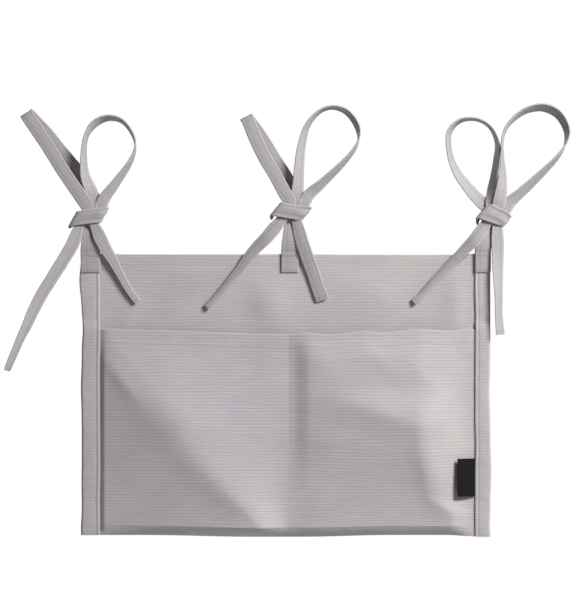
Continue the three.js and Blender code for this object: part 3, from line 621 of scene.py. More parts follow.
def canvas_material(name, colour, settings, slub=1.0, weave=1.0, rim=0.0):
    """Woven canvas with ribs across it. The dip between two ribs is a power of a sine of the way up the
    cloth, bent a little by noise, and noise stretched along the weft makes it come and go. Slubs are finer
    stretched noise, and the weave is the product of two sines. Painted shade darkens the cloth along a sewn
    line or a gap, and, with rim, a painted highlight makes it paler along a folded edge or ridge."""
    material, n = new_material(name)
    uv, place = n.on_cloth(UV_NAME)
    coarse = n.stretched_noise(uv, 13.0, 250.0, 2.0, 0.55)
    fine = n.stretched_noise(uv, 42.0, 620.0, 1.0)
    bent = n.math("MULTIPLY", n.stretched_noise(uv, 4.0, 14.0), 17.0)
    rib = n.math("SINE", n.math("MULTIPLY_ADD", place[1], 2 * math.pi / settings.rib_pitch, bent))
    dip = n.math("POWER", n.math("MULTIPLY_ADD", rib, 0.5, 0.5), 2.5)
    dip = n.math("MULTIPLY", dip, n.math("MULTIPLY_ADD", n.ranged(coarse, 0.38, 0.6), 0.7, 0.3))
    slubs = n.math("MULTIPLY_ADD", coarse, 0.6, n.math("MULTIPLY", fine, 0.4))
    slubs = n.math("MULTIPLY_ADD", n.ranged(slubs, 0.34, 0.66), 0.75, 0.4)
    streak = n.math("MULTIPLY_ADD", dip, -1.1, slubs)
    contrast = settings.slub_contrast * slub
    base = n.mix(streak, colour4(colour, 1.0 - contrast), colour4(colour, 1.0 + contrast))

    patches = n.ranged(n.noise(uv, 10.0, 3.0, 0.6), 0.3, 0.7)
    cool, warm = colour4((0.985, 0.955, 1.035), 0.95), colour4((1.0, 1.005, 0.985), 1.05)
    base = n.mix(1.0, base, n.mix(patches, cool, warm), "MULTIPLY")
    warp, weft = (n.sine(place[k], settings.thread_pitch) for k in (0, 1))
    threads = n.math("MULTIPLY_ADD", n.math("MULTIPLY", warp, weft), 0.5, 0.5)
    base = n.mix(n.math("MULTIPLY", threads, 0.26 * weave), base, colour4(colour, 0.68))

    highlight_line_distance, shade_line_distance, _ = n.on_cloth(SEAM_NAME)[1]
    # Painted shade: the cloth is painted darker within about a millimetre of a sewn line or gap
    base = n.mix(n.ranged(shade_line_distance, 0.0003, 0.0014, 0.34, 0.0), base, colour4(colour, 0.45))
    # Painted highlight: with rim, the cloth is painted paler along a folded edge or ridge
    base = n.mix(n.ranged(highlight_line_distance, 0.0005, 0.0017, rim, 0.0), base, colour4(colour, 1.5))
    height = n.math("MULTIPLY_ADD", streak, 0.55, n.math("MULTIPLY", threads, 0.45 * weave))
    bump = n.add("ShaderNodeBump", {"Strength": 0.55, "Distance": settings.slub_height, "Height": height})
    n.surface(base, 0.92, 0.25, 0.12, 0.45, {"Normal": bump.outputs[0]})
    return material


def ribbon_material(name, colour):
    """A black woven ribbon: a fine diagonal twill, from a sine of both directions, with a faint satin
    gloss."""
    material, n = new_material(name)
    uv, place = n.on_cloth(UV_NAME)
    twill = n.sine(n.math("ADD", place[0], place[1]), 0.0007)
    ribs = n.sine(place[1], 0.0005)
    height = n.math("MULTIPLY_ADD", twill, 0.35, n.math("MULTIPLY_ADD", ribs, 0.15, 0.5))
    base = n.mix(n.math("MULTIPLY", height, 0.5), colour4(colour), colour4(colour, 1.9))
    dust = n.math("MULTIPLY", n.noise(uv, 160.0, 3.0, 0.6), 0.25)
    base = n.mix(dust, base, (0.022, 0.022, 0.025, 1.0))
    bump = n.add("ShaderNodeBump", {"Strength": 0.5, "Distance": 0.0001, "Height": height})
    n.surface(base, 0.75, 0.08, 0.01, 0.4, {"Normal": bump.outputs[0]})
    return material


def thread_material(name, colour):
    """Twisted sewing thread: a sine along it stands for the twist."""
    material, n = new_material(name)
    twist = n.math("MULTIPLY_ADD", n.sine(n.on_cloth(UV_NAME)[1][1], 0.0008), 0.5, 0.5)
    base = n.mix(n.math("MULTIPLY", twist, 0.3), colour4(colour), colour4(colour, 0.75))
    n.surface(base, 0.7, 0.35, 0.1, 0.4, {})
    return material


def floor_material():
    """A pale floor with a fine speckle of noise, which the camera sees paler than the light does."""
    material, n = new_material("pale_floor")
    speckle = n.noise(n.add("ShaderNodeTexCoord").outputs["Object"], 30.0)
    tone = n.mix(speckle, (0.70, 0.70, 0.70, 1), (0.73, 0.73, 0.73, 1))
    shader = n.add("ShaderNodeBsdfPrincipled", {"Base Color": tone, "Roughness": 0.9})
    pale = n.add("ShaderNodeEmission", {"Color": (0.93, 0.93, 0.93, 1), "Strength": 1.0})
    share = n.math("MULTIPLY", n.seen_directly(), 0.72)
    mixed = n.add("ShaderNodeMixShader", {0: share, 1: shader.outputs[0], 2: pale.outputs[0]})
    n.add("ShaderNodeOutputMaterial", {0: mixed.outputs[0]})
    return material


def finish_named(kind):
    """The material of one of this object's finishes, made when it is first asked for."""
    found = bpy.data.materials.get(kind)
    if found:
        return found
    settings = bpy.context.scene.organizer_cloth
    if kind == "black_ribbon":
        return ribbon_material(kind, settings.label_colour)
    if kind == "sewing_thread":
        return thread_material(kind, settings.thread_colour)
    # rim: how strongly a highlight is painted along folded edges
    if kind == "binding_canvas":
        return canvas_material(kind, settings.hem_colour, settings, slub=0.7, rim=0.12)
    if kind == "strap_canvas":
        return canvas_material(kind, settings.strap_colour, settings, slub=0.6, weave=1.6, rim=0.26)
    return canvas_material("panel_canvas", settings.canvas_colour, settings)


def dressed(cloth, name, canvas):
    """Makes the piece with its canvas and thread."""
    piece = cloth.piece(name, [finish_named(canvas), finish_named("sewing_thread")])
    return piece


# Sizes and colours that a user can change

class OrganizerCloth(bpy.types.PropertyGroup):
    """Colours of the finishes and the size of the weave."""

    canvas_colour: FloatVectorProperty(
        name="Canvas", description="Colour of the panel and pockets", subtype="COLOR",
        default=(0.505, 0.48, 0.486))
    hem_colour: FloatVectorProperty(
        name="Hems", description="Colour of the side bindings and the top hem", subtype="COLOR",
        default=(0.50, 0.475, 0.482))
    strap_colour: FloatVectorProperty(
        name="Straps", description="Colour of the ties", subtype="COLOR", default=(0.445, 0.432, 0.43))
    thread_colour: FloatVectorProperty(
        name="Thread", description="Colour of the stitching", subtype="COLOR", default=(0.40, 0.385, 0.39))
    label_colour: FloatVectorProperty(
        name="Label", description="Colour of the bare ribbon label", subtype="COLOR",
        default=(0.006, 0.0056, 0.0066))
    thread_pitch: FloatProperty(
        name="Thread pitch", description="Length of one wave of the weave in each direction", unit="LENGTH",
        default=0.0017)
    rib_pitch: FloatProperty(
        name="Rib pitch", description="Distance from one rib of the cloth to the next", unit="LENGTH",
        default=0.0038)
    slub_height: FloatProperty(
        name="Slub height", description="Height of the slubs and threads over the cloth", unit="LENGTH",
        default=0.0003)
    slub_contrast: FloatProperty(
        name="Slub contrast", description="How much lighter and darker the slubs are than the cloth",
        subtype="FACTOR", min=0.0, max=0.5, default=0.1)


class OrganizerPanel(bpy.types.PropertyGroup):
    """Sizes of the back panel and its top hem."""

    cloth: FloatProperty(
        name="Panel cloth", description="Thickness of the panel", unit="LENGTH", default=0.0014)
    hem_height: FloatProperty(
        name="Top hem", description="Height of the top hem", unit="LENGTH", default=0.015)
    waver: FloatProperty(
        name="Edge waver", description="How far the side edges wander", unit="LENGTH", default=0.0005)
    fold_height: FloatProperty(
        name="Fold height", description="Scale of the soft folds above the pockets", subtype="FACTOR",
        max=3.0, default=1.7)


class OrganizerPocket(bpy.types.PropertyGroup):
    """Sizes and belly of the pockets."""

    cloth: FloatProperty(
        name="Pocket cloth", description="Thickness of the pocket's cloth", unit="LENGTH", default=0.0014)
    hem_height: FloatProperty(
        name="Mouth hem", description="Height of the hem at the mouth", unit="LENGTH", default=0.019)
    lip: FloatProperty(
        name="Lip", description="Twice how far the mouth stands off the pocket's slope", unit="LENGTH",
        default=0.0035)
    slope: FloatProperty(
        name="Slope", description="Rise of the pocket's cloth towards its drag line, over its way across",
        subtype="FACTOR", default=0.23)
    seam_lift: FloatProperty(
        name="Seam lift", description="Quick rise of the cloth beside the left seam", unit="LENGTH",
        default=0.003)
    crease: FloatProperty(
        name="Crease", description="Depth of the crease between the pockets", unit="LENGTH", default=0.0034)


class OrganizerTie(bpy.types.PropertyGroup):
    """Sizes of the straps."""

    width: FloatProperty(
        name="Width", description="Width of a tie", unit="LENGTH", default=0.0162)
    thickness: FloatProperty(
        name="Thickness", description="Thickness of a tie", unit="LENGTH", default=0.0022)
    pinch: FloatProperty(
        name="Pinch", description="Share of its width that a strap keeps inside the knot", subtype="FACTOR",
        default=0.72)


class OrganizerStage(bpy.types.PropertyGroup):
    """Lamps, lens and floor."""

    lens: FloatProperty(name="Lens", description="Focal length in millimetres", default=200.0)
    key_power: FloatProperty(
        name="Key light", description="Power of the main lamp", unit="POWER", default=109.0)
    fill_power: FloatProperty(
        name="Fill light", description="Power of the weak lamp at the left", unit="POWER", default=0.5)
    rear_power: FloatProperty(
        name="Rear light", description="Power of the lamp behind the panel", unit="POWER", default=50.0)
    sky: FloatProperty(name="Sky", description="Strength of the light from all round", default=0.045)
    floor_drop: FloatProperty(
        name="Floor", description="Distance from the rail down to the floor", unit="LENGTH", default=1.4)


# Panel

def edge_waver(z, side):
    """How far a side edge stands in from a straight line: an irregular line that is straight at the
    corners."""
    share = (PANEL_TOP - z) / (PANEL_TOP - PANEL_BOTTOM)
    ends = smooth(share / 0.06) * smooth((1 - share) / 0.06)
    deep = bpy.context.scene.organizer_panel.waver / MM
    return deep * ends * (0.5 + 0.5 * wave(z / 17.0, 1.3 if side < 0 else 4.1))


def panel_relief(x, z):
    """Soft folds of the panel above the pockets, which fade out at the hems and behind the pockets."""
    shown = between_seams(x, 25) * smooth((PANEL_TOP - z) / 22) * smooth((z - MOUTH_LEVEL + 12) / 14)
    return soft_folds(x, z, PANEL_FOLDS) * shown * bpy.context.scene.organizer_panel.fold_height


def top_seam(settings):
    """Height of the top hem's stitched line, and the places of its threads."""
    return PANEL_TOP - settings.hem_height / MM + 2.0, np.arange(LEFT_SEAM + 4, RIGHT_SEAM - 3, STITCH_PITCH)


def make_panel(settings):
    """The back panel: a flat sheet with soft folds, and a bell-shaped groove along the top hem's stitched
    line."""
    half = settings.cloth / MM / 2
    rows, full = rounded_rim(PANEL_TOP - PANEL_BOTTOM, 130, 0.9)
    columns = np.linspace(PANEL_LOW[0] + 1.0, PANEL_HIGH[0] - 1.0, 170)
    x, z = np.meshgrid(columns, PANEL_BOTTOM + rows, indexing="ij")
    relief = panel_relief(x, z)
    seam, at = top_seam(settings)
    groove = 0.3 * bell(z, seam, 1.1) * between_seams(x, 6)
    cloth = Cloth(sewn_to_panel=True)
    cloth.loft(*sheet_rings(x, z, -half * full - relief + groove, half * full - relief))
    face = -half - panel_relief(at, np.full_like(at, seam)) + 0.25
    cloth.stitches(places(at, face, seam), EAST, FRONT)
    panel = dressed(cloth, "back_panel_cloth", "panel_canvas")
    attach(panel, "panel")
    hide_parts("back_panel")


def make_top_hem(settings):
    """The top hem: a folded strip on the panel's back, whose rear face waves a little and dips along its
    seam."""
    low, high = box_mm("top_hem")
    rows, full = rounded_rim(high[2] - low[2], 14, 0.8)
    x, z = np.meshgrid(np.linspace(low[0], high[0], 150), low[2] + rows, indexing="ij")
    seam, at = top_seam(settings)
    middle, thick = (low[1] + high[1]) / 2, (high[1] - low[1]) / 2
    rear = middle + (thick + 0.10 * wave(x / 13.0, 2.2)) * full - 0.3 * bell(z, seam, 1.1)
    cloth = Cloth(sewn_to_panel=True)
    cloth.loft(*sheet_rings(x, z, middle - thick * full, rear))
    cloth.stitches(places(at, high[1] - 0.2, seam), EAST, -FRONT)
    hem = dressed(cloth, "top_hem_cloth", "binding_canvas")
    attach(hem, "panel")
    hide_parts("top_hem")


class ORGANIZER_OT_panel(bpy.types.Operator):
    """The back panel and its top hem: sheets with soft folds, round edges and a stitched line."""

    bl_idname = "organizer.panel"
    bl_label = "Back panel and top hem"

    def execute(self, context):
        make_panel(context.scene.organizer_panel)
        make_top_hem(context.scene.organizer_panel)
        return {"FINISHED"}


def make_binding(side, name, low, high):
    """A side binding, folded round the panel's edge. Each slice is a line from the inner edge along the
    front, round the outer edge as half an ellipse and back along the rear, with its cloth's two faces on
    either side. A sine swells it between its edges. The front stands further out beside the pockets and has
    a bell-shaped ridge and groove beside its inner edge."""
    half = 0.6
    back = 1.7
    z = np.linspace(PANEL_BOTTOM, PANEL_TOP, 190)[:, None]
    over = smooth((MOUTH_LEVEL + 12 - z) / 12)
    front = -(back + 1.7 * over)
    seam_x, edge_x = (high[0], low[0]) if side < 0 else (low[0], high[0])
    inner = seam_x + 0.5 * wave(z / 23.0, 2.7 if side < 0 else 5.3) * smooth((PANEL_TOP - z) / 20)
    outer = edge_x - side * edge_waver(z, side)
    nose = (back - front) / 2
    reach = np.abs(outer - inner) - half - nose
    leg = np.linspace(0, 1, 26)[None]
    turn = np.linspace(0, math.pi, 15)[None, 1:-1]
    off = reach * leg
    swell = 0.35 * np.sin(np.pi * leg)
    ridge = 0.5 * bell(off, 1.3, 1.3) - 0.4 * bell(off, 4.2, 0.8)
    front_out = swell + 0.15 * wave(z / 6.0 + off / 9.0, 3.1) + ridge
    across = np.concatenate([off, reach + nose * np.sin(turn), off[:, ::-1]], 1)
    round_edge = (front + back) / 2 - nose * np.cos(turn)
    depth = np.concatenate([front - front_out, round_edge, back + swell[:, ::-1] + 0 * z], 1)
    full = rounded(np.minimum(z - PANEL_BOTTOM, PANEL_TOP - z), 0.8, 0.25)
    outline = both_faces(places(across, depth), half * full * thin_ends(across.shape[1], 0.5))
    rings = places(inner + side * outline[..., 0], outline[..., 1], z)

    way = np.concatenate([off, reach + 1.57 * nose * turn, 2 * reach + 4.9 * nose - off[:, ::-1]], 1)
    u = there_and_back(way)
    # Painted light: on the left, shade is painted along the stitched line beside the pockets and a highlight
    # along the ridge; on the right, a painted shadow of the gap runs along the inner edge
    if side < 0:
        shade_line_distance = np.abs(u - 4.3) + FAR * (1 - over)
        highlight_line_distance = np.where(u < reach, np.abs(u - 1.3), FAR)
    else:
        shade_line_distance = np.abs(u - 0.5)
        highlight_line_distance = FAR
    seams = places(highlight_line_distance, np.where(u < reach, shade_line_distance, FAR))
    cloth = Cloth(sewn_to_panel=True)
    cloth.loft(rings, closed(places(u, z)), closed(seams))
    level = np.arange(PANEL_BOTTOM + 3, PANEL_TOP - 2, STITCH_PITCH)
    x = np.interp(level, z[:, 0], inner[:, 0]) + side * 4.2
    cloth.stitches(places(x, np.interp(level, z[:, 0], front[:, 0]) - half + 0.12, level), UP, FRONT)
    cloth.stitches(places(x, back + half, level), UP, -FRONT)
    band = dressed(cloth, f"{name}_binding_cloth", "binding_canvas")
    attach(band, "panel")
    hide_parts(f"side_binding_{name}")


class ORGANIZER_OT_bindings(bpy.types.Operator):
    """The two side bindings: folded bands round the panel's edges with a rolled inner edge and a stitched
    line."""

    bl_idname = "organizer.bindings"
    bl_label = "Side bindings"

    def execute(self, context):
        make_binding(-1, "left", LEFT_LOW, LEFT_HIGH)
        make_binding(1, "right", RIGHT_LOW, RIGHT_HIGH)
        return {"FINISHED"}


# Pockets

def mouth_level(x):
    """Height of the mouth: it dips by a soft step towards the middle seam and waves as a sine over the
    right pocket."""
    half = np.where(x < DIVIDER_X, DIVIDER_X - LEFT_SEAM, RIGHT_SEAM - DIVIDER_X)
    dip = 1 - smooth(np.abs(x - DIVIDER_X) / half)
    right_wave = np.sin(2 * np.pi * (x - DIVIDER_X) / MOUTH_WAVE_LENGTH)
    swing = np.where(x > DIVIDER_X, right_wave, 0.1 * np.sin(x / 9.0))
    fade = between_seams(x, 24) * smooth(np.abs(x - DIVIDER_X) / 24)
    return MOUTH_LEVEL - MOUTH_DIP * dip + MOUTH_WAVE * swing * fade


def climb(x, low, corner, wide):
    """How far a slope has risen at x, which starts at low and turns level at a corner softened over wide.
    The turn is the integral of one minus the soft step: t less t cubed plus half of t to the fourth."""

    def risen(at):
        t = np.clip((at - corner) / wide + 0.5, 0, 1)
        return np.minimum(at, corner - wide / 2) + wide * (t - t**3 + t**4 / 2)

    return risen(x) - risen(low)


def crease_out(share):
    """How far the crease between the pockets stands out, at a share of the way down from the mouth."""
    return 3.0 + 2.5 * smooth(share / 0.4) + 3.5 * smooth((share - 0.5) / 0.5)


def left_out(x, share, down, settings):
    """The left pocket: a quick rise beside its seam and a slope up to the drag line, which is a parabola
    with a wave, then a soft step down to the crease."""
    drag = -220.0 + 0.62 * down + 0.0009 * down**2 + 8.0 * wave(down / 36.0, 2.2) * smooth(down / 80)
    wide = 30 + 0.52 * down
    lower = 1 - 0.56 * smooth((share - 0.25) / 0.75)
    rise = settings.seam_lift / MM * smooth((x - LEFT_SEAM) / 6) * (0.35 + 0.65 * smooth(share / 0.25))
    out = rise + settings.slope * climb(x, LEFT_SEAM, drag, wide) * lower
    return blend_between(out, crease_out(share), smooth((x - drag) / (DIVIDER_X - drag)))


def right_out(x, share, down, settings):
    """The right pocket: a roll beside the crease and a gentler slope up to the drag line, both lower
    towards the bottom, on the height of the crease, then a soft step down to the right seam."""
    drag = 25.0 + 0.40 * down + 105.0 * smooth((down - 55) / 62)
    wide = 26 + 55 * bell(down, 70, 45)
    rough = 1 + 0.35 * wave(down / 31.0, 4.4) - 0.3 * share
    roll = settings.crease / MM * rough * smooth((x - DIVIDER_X - 5) / 22) * smooth(share / 0.15)
    out = roll + 0.6 * settings.slope * climb(x, DIVIDER_X, drag, wide)
    foot = smooth((share - 0.5) / 0.5)
    lower = 1.15 - 0.95 * smooth((share - 0.2) / 0.8)
    out = crease_out(share) * (1 - 0.5 * foot * smooth((x - 20) / 150)) + out * lower
    fall = 74 - 16 * foot - 26 * smooth((share - 0.84) / 0.1)
    return out * smooth((RIGHT_SEAM - x) / fall)


def pocket_out(x, z):
    """How far the pockets' outer face stands from the panel's middle. In each pocket the cloth rises evenly
    from its left side to a drag line, which runs down from the mouth's left corner. Past that line it is
    level, and falls to the crease between the pockets or to the right seam. Bell-shaped folds and a lip at
    the mouth are added."""
    settings = bpy.context.scene.organizer_pocket
    mouth = mouth_level(x)
    share = np.clip((mouth - z) / (mouth - FOLD_TOP), 0, 1)
    down = np.maximum(DRAG_TOP - z, 0.0)
    out = np.where(x < DIVIDER_X, left_out(x, share, down, settings), right_out(x, share, down, settings))
    across = np.clip((x - LEFT_SEAM) / (RIGHT_SEAM - LEFT_SEAM), 0, 1)
    lip = 0.5 * settings.lip / MM * np.sin(np.pi * across) ** 0.4 * bell(share, 0, 0.12)
    folds = soft_folds(x, z, POCKET_FOLDS) * smooth(share / 0.1) * smooth((1 - share) / 0.12)
    return SEWN_FACE + out + between_seams(x, 9) * (lip + folds)


def pocket_rows():
    """Shares of a pocket piece's height: even up to the hem, closer in it and, by a sine, closest at the
    mouth."""
    hem_start, rim_start = 1 - 26 / 240, 1 - 1.6 / 240
    rim = 1 - (1 - rim_start) * (1 - np.sin(np.linspace(0, np.pi / 2, 7)[1:]))
    return np.concatenate([np.linspace(0, hem_start, 100)[:-1], np.linspace(hem_start, rim_start, 34), rim])


def make_pocket_piece(settings, name, seam_x, middle_x, nodes):
    """One pocket piece, from its seam to its pocket's middle: a sheet that follows pocket_out, thicker in
    the hem and with a bell-shaped groove along the hem's stitched line."""
    cloth_mm, hem = settings.cloth / MM, settings.hem_height / MM
    start, stop = sorted((seam_x, middle_x))
    columns = np.linspace(start, stop, int((stop - start) / 1.7))
    aside = 1e-3 if middle_x > DIVIDER_X else -1e-3
    shape_x = np.where(columns == DIVIDER_X, columns + aside, columns)
    mouth = mouth_level(shape_x)
    z = FOLD_TOP + (mouth - FOLD_TOP)[:, None] * pocket_rows()[None]
    x, flat_x = (np.broadcast_to(part[:, None], z.shape) for part in (columns, shape_x))
    out = pocket_out(flat_x, z)
    below = mouth[:, None] - z
    double = smooth((hem - below) / 1.5)
    full = rounded(below, 1.6)
    puff = 0.15 * double + 0.1 * double * wave(columns / 7.0, 1.9)[:, None]
    half = (cloth_mm + 0.9 * double) / 2
    groove = 0.25 * bell(below, hem - 1.5, 0.9)
    front = -out + half - (half + puff - groove) * full
    back = -out + half + half * full
    cloth = Cloth(sewn_to_panel=True)
    cloth.loft(*sheet_rings(x, z, front, back))
    at = np.arange(start + 2, stop - 1, STITCH_PITCH)
    level = mouth_level(at) - hem + 1.5
    face = -pocket_out(at, level) + 0.22
    cloth.stitches(places(at, face, level), places(1.0, np.gradient(face, at), np.gradient(level, at)), FRONT)
    piece = dressed(cloth, name, "panel_canvas")
    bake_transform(piece)
    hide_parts(*nodes)


def make_bottom_fold(settings):
    """The rounded fold under the pockets: each slice is part of an ellipse, mixed with a straight line,
    from the pockets' face at the top to the panel at the bottom, and a wave crumples it."""
    columns = np.linspace(FOLD_LOW[0], FOLD_HIGH[0], 270)[:, None]
    out = pocket_out(columns, np.full_like(columns, FOLD_TOP))
    angle = np.linspace(0, math.pi / 2, 14)[None]
    inset = settings.cloth / MM / 2
    back_y = 1.1 + inset
    forward = 0.35 * np.sin(angle) + 0.65 * angle / (math.pi / 2)
    lowered = 0.35 * np.cos(angle) + 0.65 * (1 - angle / (math.pi / 2))
    crumple = 0.25 * wave(columns / 8.0, 3.3) * np.sin(2 * angle)
    y = -back_y - (out - back_y - inset + crumple) * forward
    line = places(y, FOLD_TOP - (FOLD_TOP - FOLD_LOW[2] - inset) * lowered)
    outline = both_faces(line, np.full(line.shape[:2], inset))
    v = there_and_back(angle * 9)
    cloth = Cloth(sewn_to_panel=True)
    cloth.loft(places(columns, outline[..., 0], outline[..., 1]), closed(places(columns, v)))
    fold = dressed(cloth, "bottom_fold_cloth", "panel_canvas")
    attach(fold, "panel")
    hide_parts("pocket_bottom_fold")


class ORGANIZER_OT_pockets(bpy.types.Operator):
    """The pocket sheet in four pieces, from each seam to the middle of each pocket, with a turned-in and
    stitched hem along the mouth, and the fold under them."""

    bl_idname = "organizer.pockets"
    bl_label = "Pockets"

    def execute(self, context):
        settings = context.scene.organizer_pocket
        pieces = (
            ("left_outer", LEFT_SEAM, LEFT_SEAM - 5, ("pocket_front_left", "pocket_side_left")),
            ("left_inner", LEFT_SEAM, DIVIDER_X, ("mouth_hem_left", "pocket_divider")),
            ("right_inner", RIGHT_SEAM, DIVIDER_X, ("mouth_hem_right",)),
            ("right_outer", RIGHT_SEAM, RIGHT_SEAM + 5, ("pocket_front_right", "pocket_side_right")),
        )
        for name, side_x, seam_x, nodes in pieces:
            make_pocket_piece(settings, f"pocket_{name}", seam_x, (side_x + DIVIDER_X) / 2, nodes)
        make_bottom_fold(settings)
        return {"FINISHED"}


# Ties

def core_bottom(band):
    """How far the lowest point of a knot's band is under the knot's centre."""
    return -(band["height"] / 2 + abs(band["slope"]) * band["half"])


def knot_ring(band, turn, up, out):
    """Points of a knot's band. Turn goes round the bundle on a rounded oblong, whose two directions are the
    square roots of the cosine and the sine. Up is the height on the band and out is outwards. The ends lean
    sideways with the height, but hang straight below the band, and the band slopes."""
    c, s = np.cos(turn), np.sin(turn)
    middle = (LAYERS[0] + LAYERS[-1]) / 2
    half = (LAYERS[0] - LAYERS[-1] + KNOT_CLOTH) / 2 + GAP
    x = (band["half"] - KNOT_CLOTH + out) * np.sign(c) * np.sqrt(np.abs(c))
    y = (half + out) * np.sign(s) * np.sqrt(np.abs(s))
    leaning = np.maximum(up, -band["height"] / 2)
    return places(x + band["lean"] * leaning, middle - y, up + band["slope"] * x)


def band_foot(band, x):
    """Height of the lower edge of a knot's band at a place across it, from the knot's centre."""
    return -band["height"] / 2 + band["slope"] * x


def knot_place(bow):
    """The middle of a bow's knot, on the panel's middle plane."""
    x, z = BOWS[bow]["knot"]
    return np.array([x, 0.0, z])


def strap_sizes():
    """Width and thickness of a tie in millimetres."""
    tie = bpy.context.scene.organizer_tie
    return tie.width / MM, tie.thickness / MM


def make_knot_band(number, bow, band):
    """A knot's band, once round the bundle. Its width swells by bell curves into a hood above and an end
    below, and its cloth is gathered by a sine of the height, strongest at the right of the front and
    back."""
    turn = np.linspace(0, 2 * math.pi, 121)[:-1]
    spread = turn + 0.105 * np.sin(4 * turn)
    hood = band["height"] * band.get("hood", 0.0) * bell(turn, 1.9, 0.7)
    drop = band["height"] * band["drop"] * bell(turn, math.pi + 0.35, 0.42)
    width = band["height"] + hood + drop + 0.5 * wave(turn * 3.0, 1.0 + number)
    raised = (hood - drop) / 2 + 0.35 * wave(turn * 2.0, 2.0 + number)
    section, across = strap_section(width, KNOT_CLOTH, groove_at=BAND_SEAM_AT, count=23)
    height = section[..., 0]
    gather = 0.55 * np.sin(height / band["height"] * 9.0 + 1.5 * np.sin(turn * 2)[:, None] + number)
    gather = gather * np.exp(-((np.cos(turn)[:, None] - 0.55) ** 2) / 0.5)
    out = section[..., 1] + KNOT_CLOTH / 2 + gather
    rings = knot_ring(band, spread[:, None], height + raised[:, None], out) + knot_place(bow)

    wide = width[:, None]
    way = travelled(rings[:, 0])
    uv = closed(places(np.concatenate([across, 2 * wide - across[:, ::-1]], 1), way[:, None]))
    # From these distances the canvas paints shade along the band's sewn line and a highlight along its edges
    shade_line_distance = np.abs(across - BAND_SEAM_AT * wide)
    seams = closed(there_and_back(places(np.minimum(across, wide - across), shade_line_distance)))
    cloth = Cloth()
    cloth.loft(rings, np.concatenate([uv, uv[:1] + [0.0, way[-1]]]), np.concatenate([seams, seams[:1]]), True)
    piece = dressed(cloth, f"{bow}_knot_band", "strap_canvas")
    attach(piece, "ties")
    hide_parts(f"{bow}_knot_wrap")


def make_knot_crossing(number, bow, band):
    """The crossing inside a knot: rings of the same rounded oblong, drawn in at its top and foot and
    crushed by a wave."""
    reach = band["height"] / 2
    levels = np.linspace(-reach + 1.0, reach - 2.2, 9)[:, None]
    shrink = np.array([2.4, 1.6, 1.2, 1.0, 1.0, 1.0, 1.2, 1.6, 2.4])[:, None]
    turn = np.linspace(0, 2 * math.pi, 49)[None, :-1]
    crush = 0.4 * wave(turn * 3.0, 0.7 + number)
    cloth = Cloth()
    rings = knot_ring(band, turn, levels, -shrink - 0.3 + crush) + knot_place(bow)
    cloth.loft(rings, closed(places(turn * 9, levels)))
    crossing = dressed(cloth, f"{bow}_knot_crossing", "strap_canvas")
    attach(crossing, "ties")
    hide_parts(f"{bow}_knot_core")


class ORGANIZER_OT_knots(bpy.types.Operator):
    """The three knots: a band that goes once round the bundle, gathered in soft folds, and the crossing
    inside it."""

    bl_idname = "organizer.knots"
    bl_label = "Knots"

    def execute(self, context):
        for number, (bow, shape) in enumerate(BOWS.items()):
            make_knot_band(number, bow, shape["band"])
            make_knot_crossing(number, bow, shape["band"])
        return {"FINISHED"}


def make_loop(number, bow, side, loop):
    """One loop of a bow, from the knot and back to it, pinched at both ends by a soft step."""
    wide, thick = strap_sizes()
    pinch = bpy.context.scene.organizer_tie.pinch

    def width_at(way, total):
        return wide * blend_between(pinch, 1.0, smooth(np.minimum(way, total - way) / 17.0))

    rows = [(x, max(z, 0.5), y, roll) for x, z, y, roll in loop["course"]]
    cloth = Cloth()
    seed = 1.0 + number * 2.3 + (side == "left")
    length = add_strap(cloth, rows, knot_place(bow), width_at, thick, seed, fixed=loop.get("fixed"))
    piece = dressed(cloth, f"{bow}_{side}_bow_loop", "strap_canvas")
    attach(piece, "ties")
    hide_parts(f"{bow}_loop_{side}")


class ORGANIZER_OT_loops(bpy.types.Operator):
    """The six loops: flat straps that leave the knot flat, twist until they stand on edge and come back."""

    bl_idname = "organizer.loops"
    bl_label = "Bow loops"

    def execute(self, context):
        for number, (bow, shape) in enumerate(BOWS.items()):
            for side in ("left", "right"):
                make_loop(number, bow, side, shape[f"{side}_loop"])
        return {"FINISHED"}


def make_tail(number, bow, side, shape):
    """One tail of a bow, pinched in the knot by a soft step. It starts inside the band, straightens above
    the height at which it bends when it swings, and ends in a folded hem."""
    wide, thick = strap_sizes()
    pinch = bpy.context.scene.organizer_tie.pinch

    def width_at(way, total):
        return wide * blend_between(pinch, 1.0, smooth(way / 26.0))

    pivot = core_bottom(shape["band"]) - 1.4
    course = shape[f"{side}_tail"]
    (x0, _, y0, roll0), (x1, z1, *_) = course[:2]
    start = band_foot(shape["band"], x0) + 3.5
    reach = (start - pivot) / (start - z1)
    first = (x0, start, y0, roll0)
    second = (blend_between(x0, x1, reach / 2), (start + pivot) / 2, y0, roll0)
    third = (blend_between(x0, x1, reach), pivot, y0 - 0.4, roll0)
    cloth = Cloth()
    seed = 7.0 + number * 1.9 + (side == "left")
    length = add_strap(
        cloth, [first, second, third, *course[1:]], knot_place(bow), width_at, thick, seed, tip=True,
        sewn=(8.0, 3.0), rows_at=(-4.5,))
    piece = dressed(cloth, f"{bow}_{side}_tail_strap", "strap_canvas")
    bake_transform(piece)
    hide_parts(f"{bow}_tail_{side}")


class ORGANIZER_OT_tails(bpy.types.Operator):
    """The six tails: straps that hang from under the knots, twist on their way and end in a folded hem."""

    bl_idname = "organizer.tails"
    bl_label = "Tails"

    def execute(self, context):
        for number, (bow, shape) in enumerate(BOWS.items()):
            for side in ("left", "right"):
                make_tail(number, bow, side, shape)
        return {"FINISHED"}


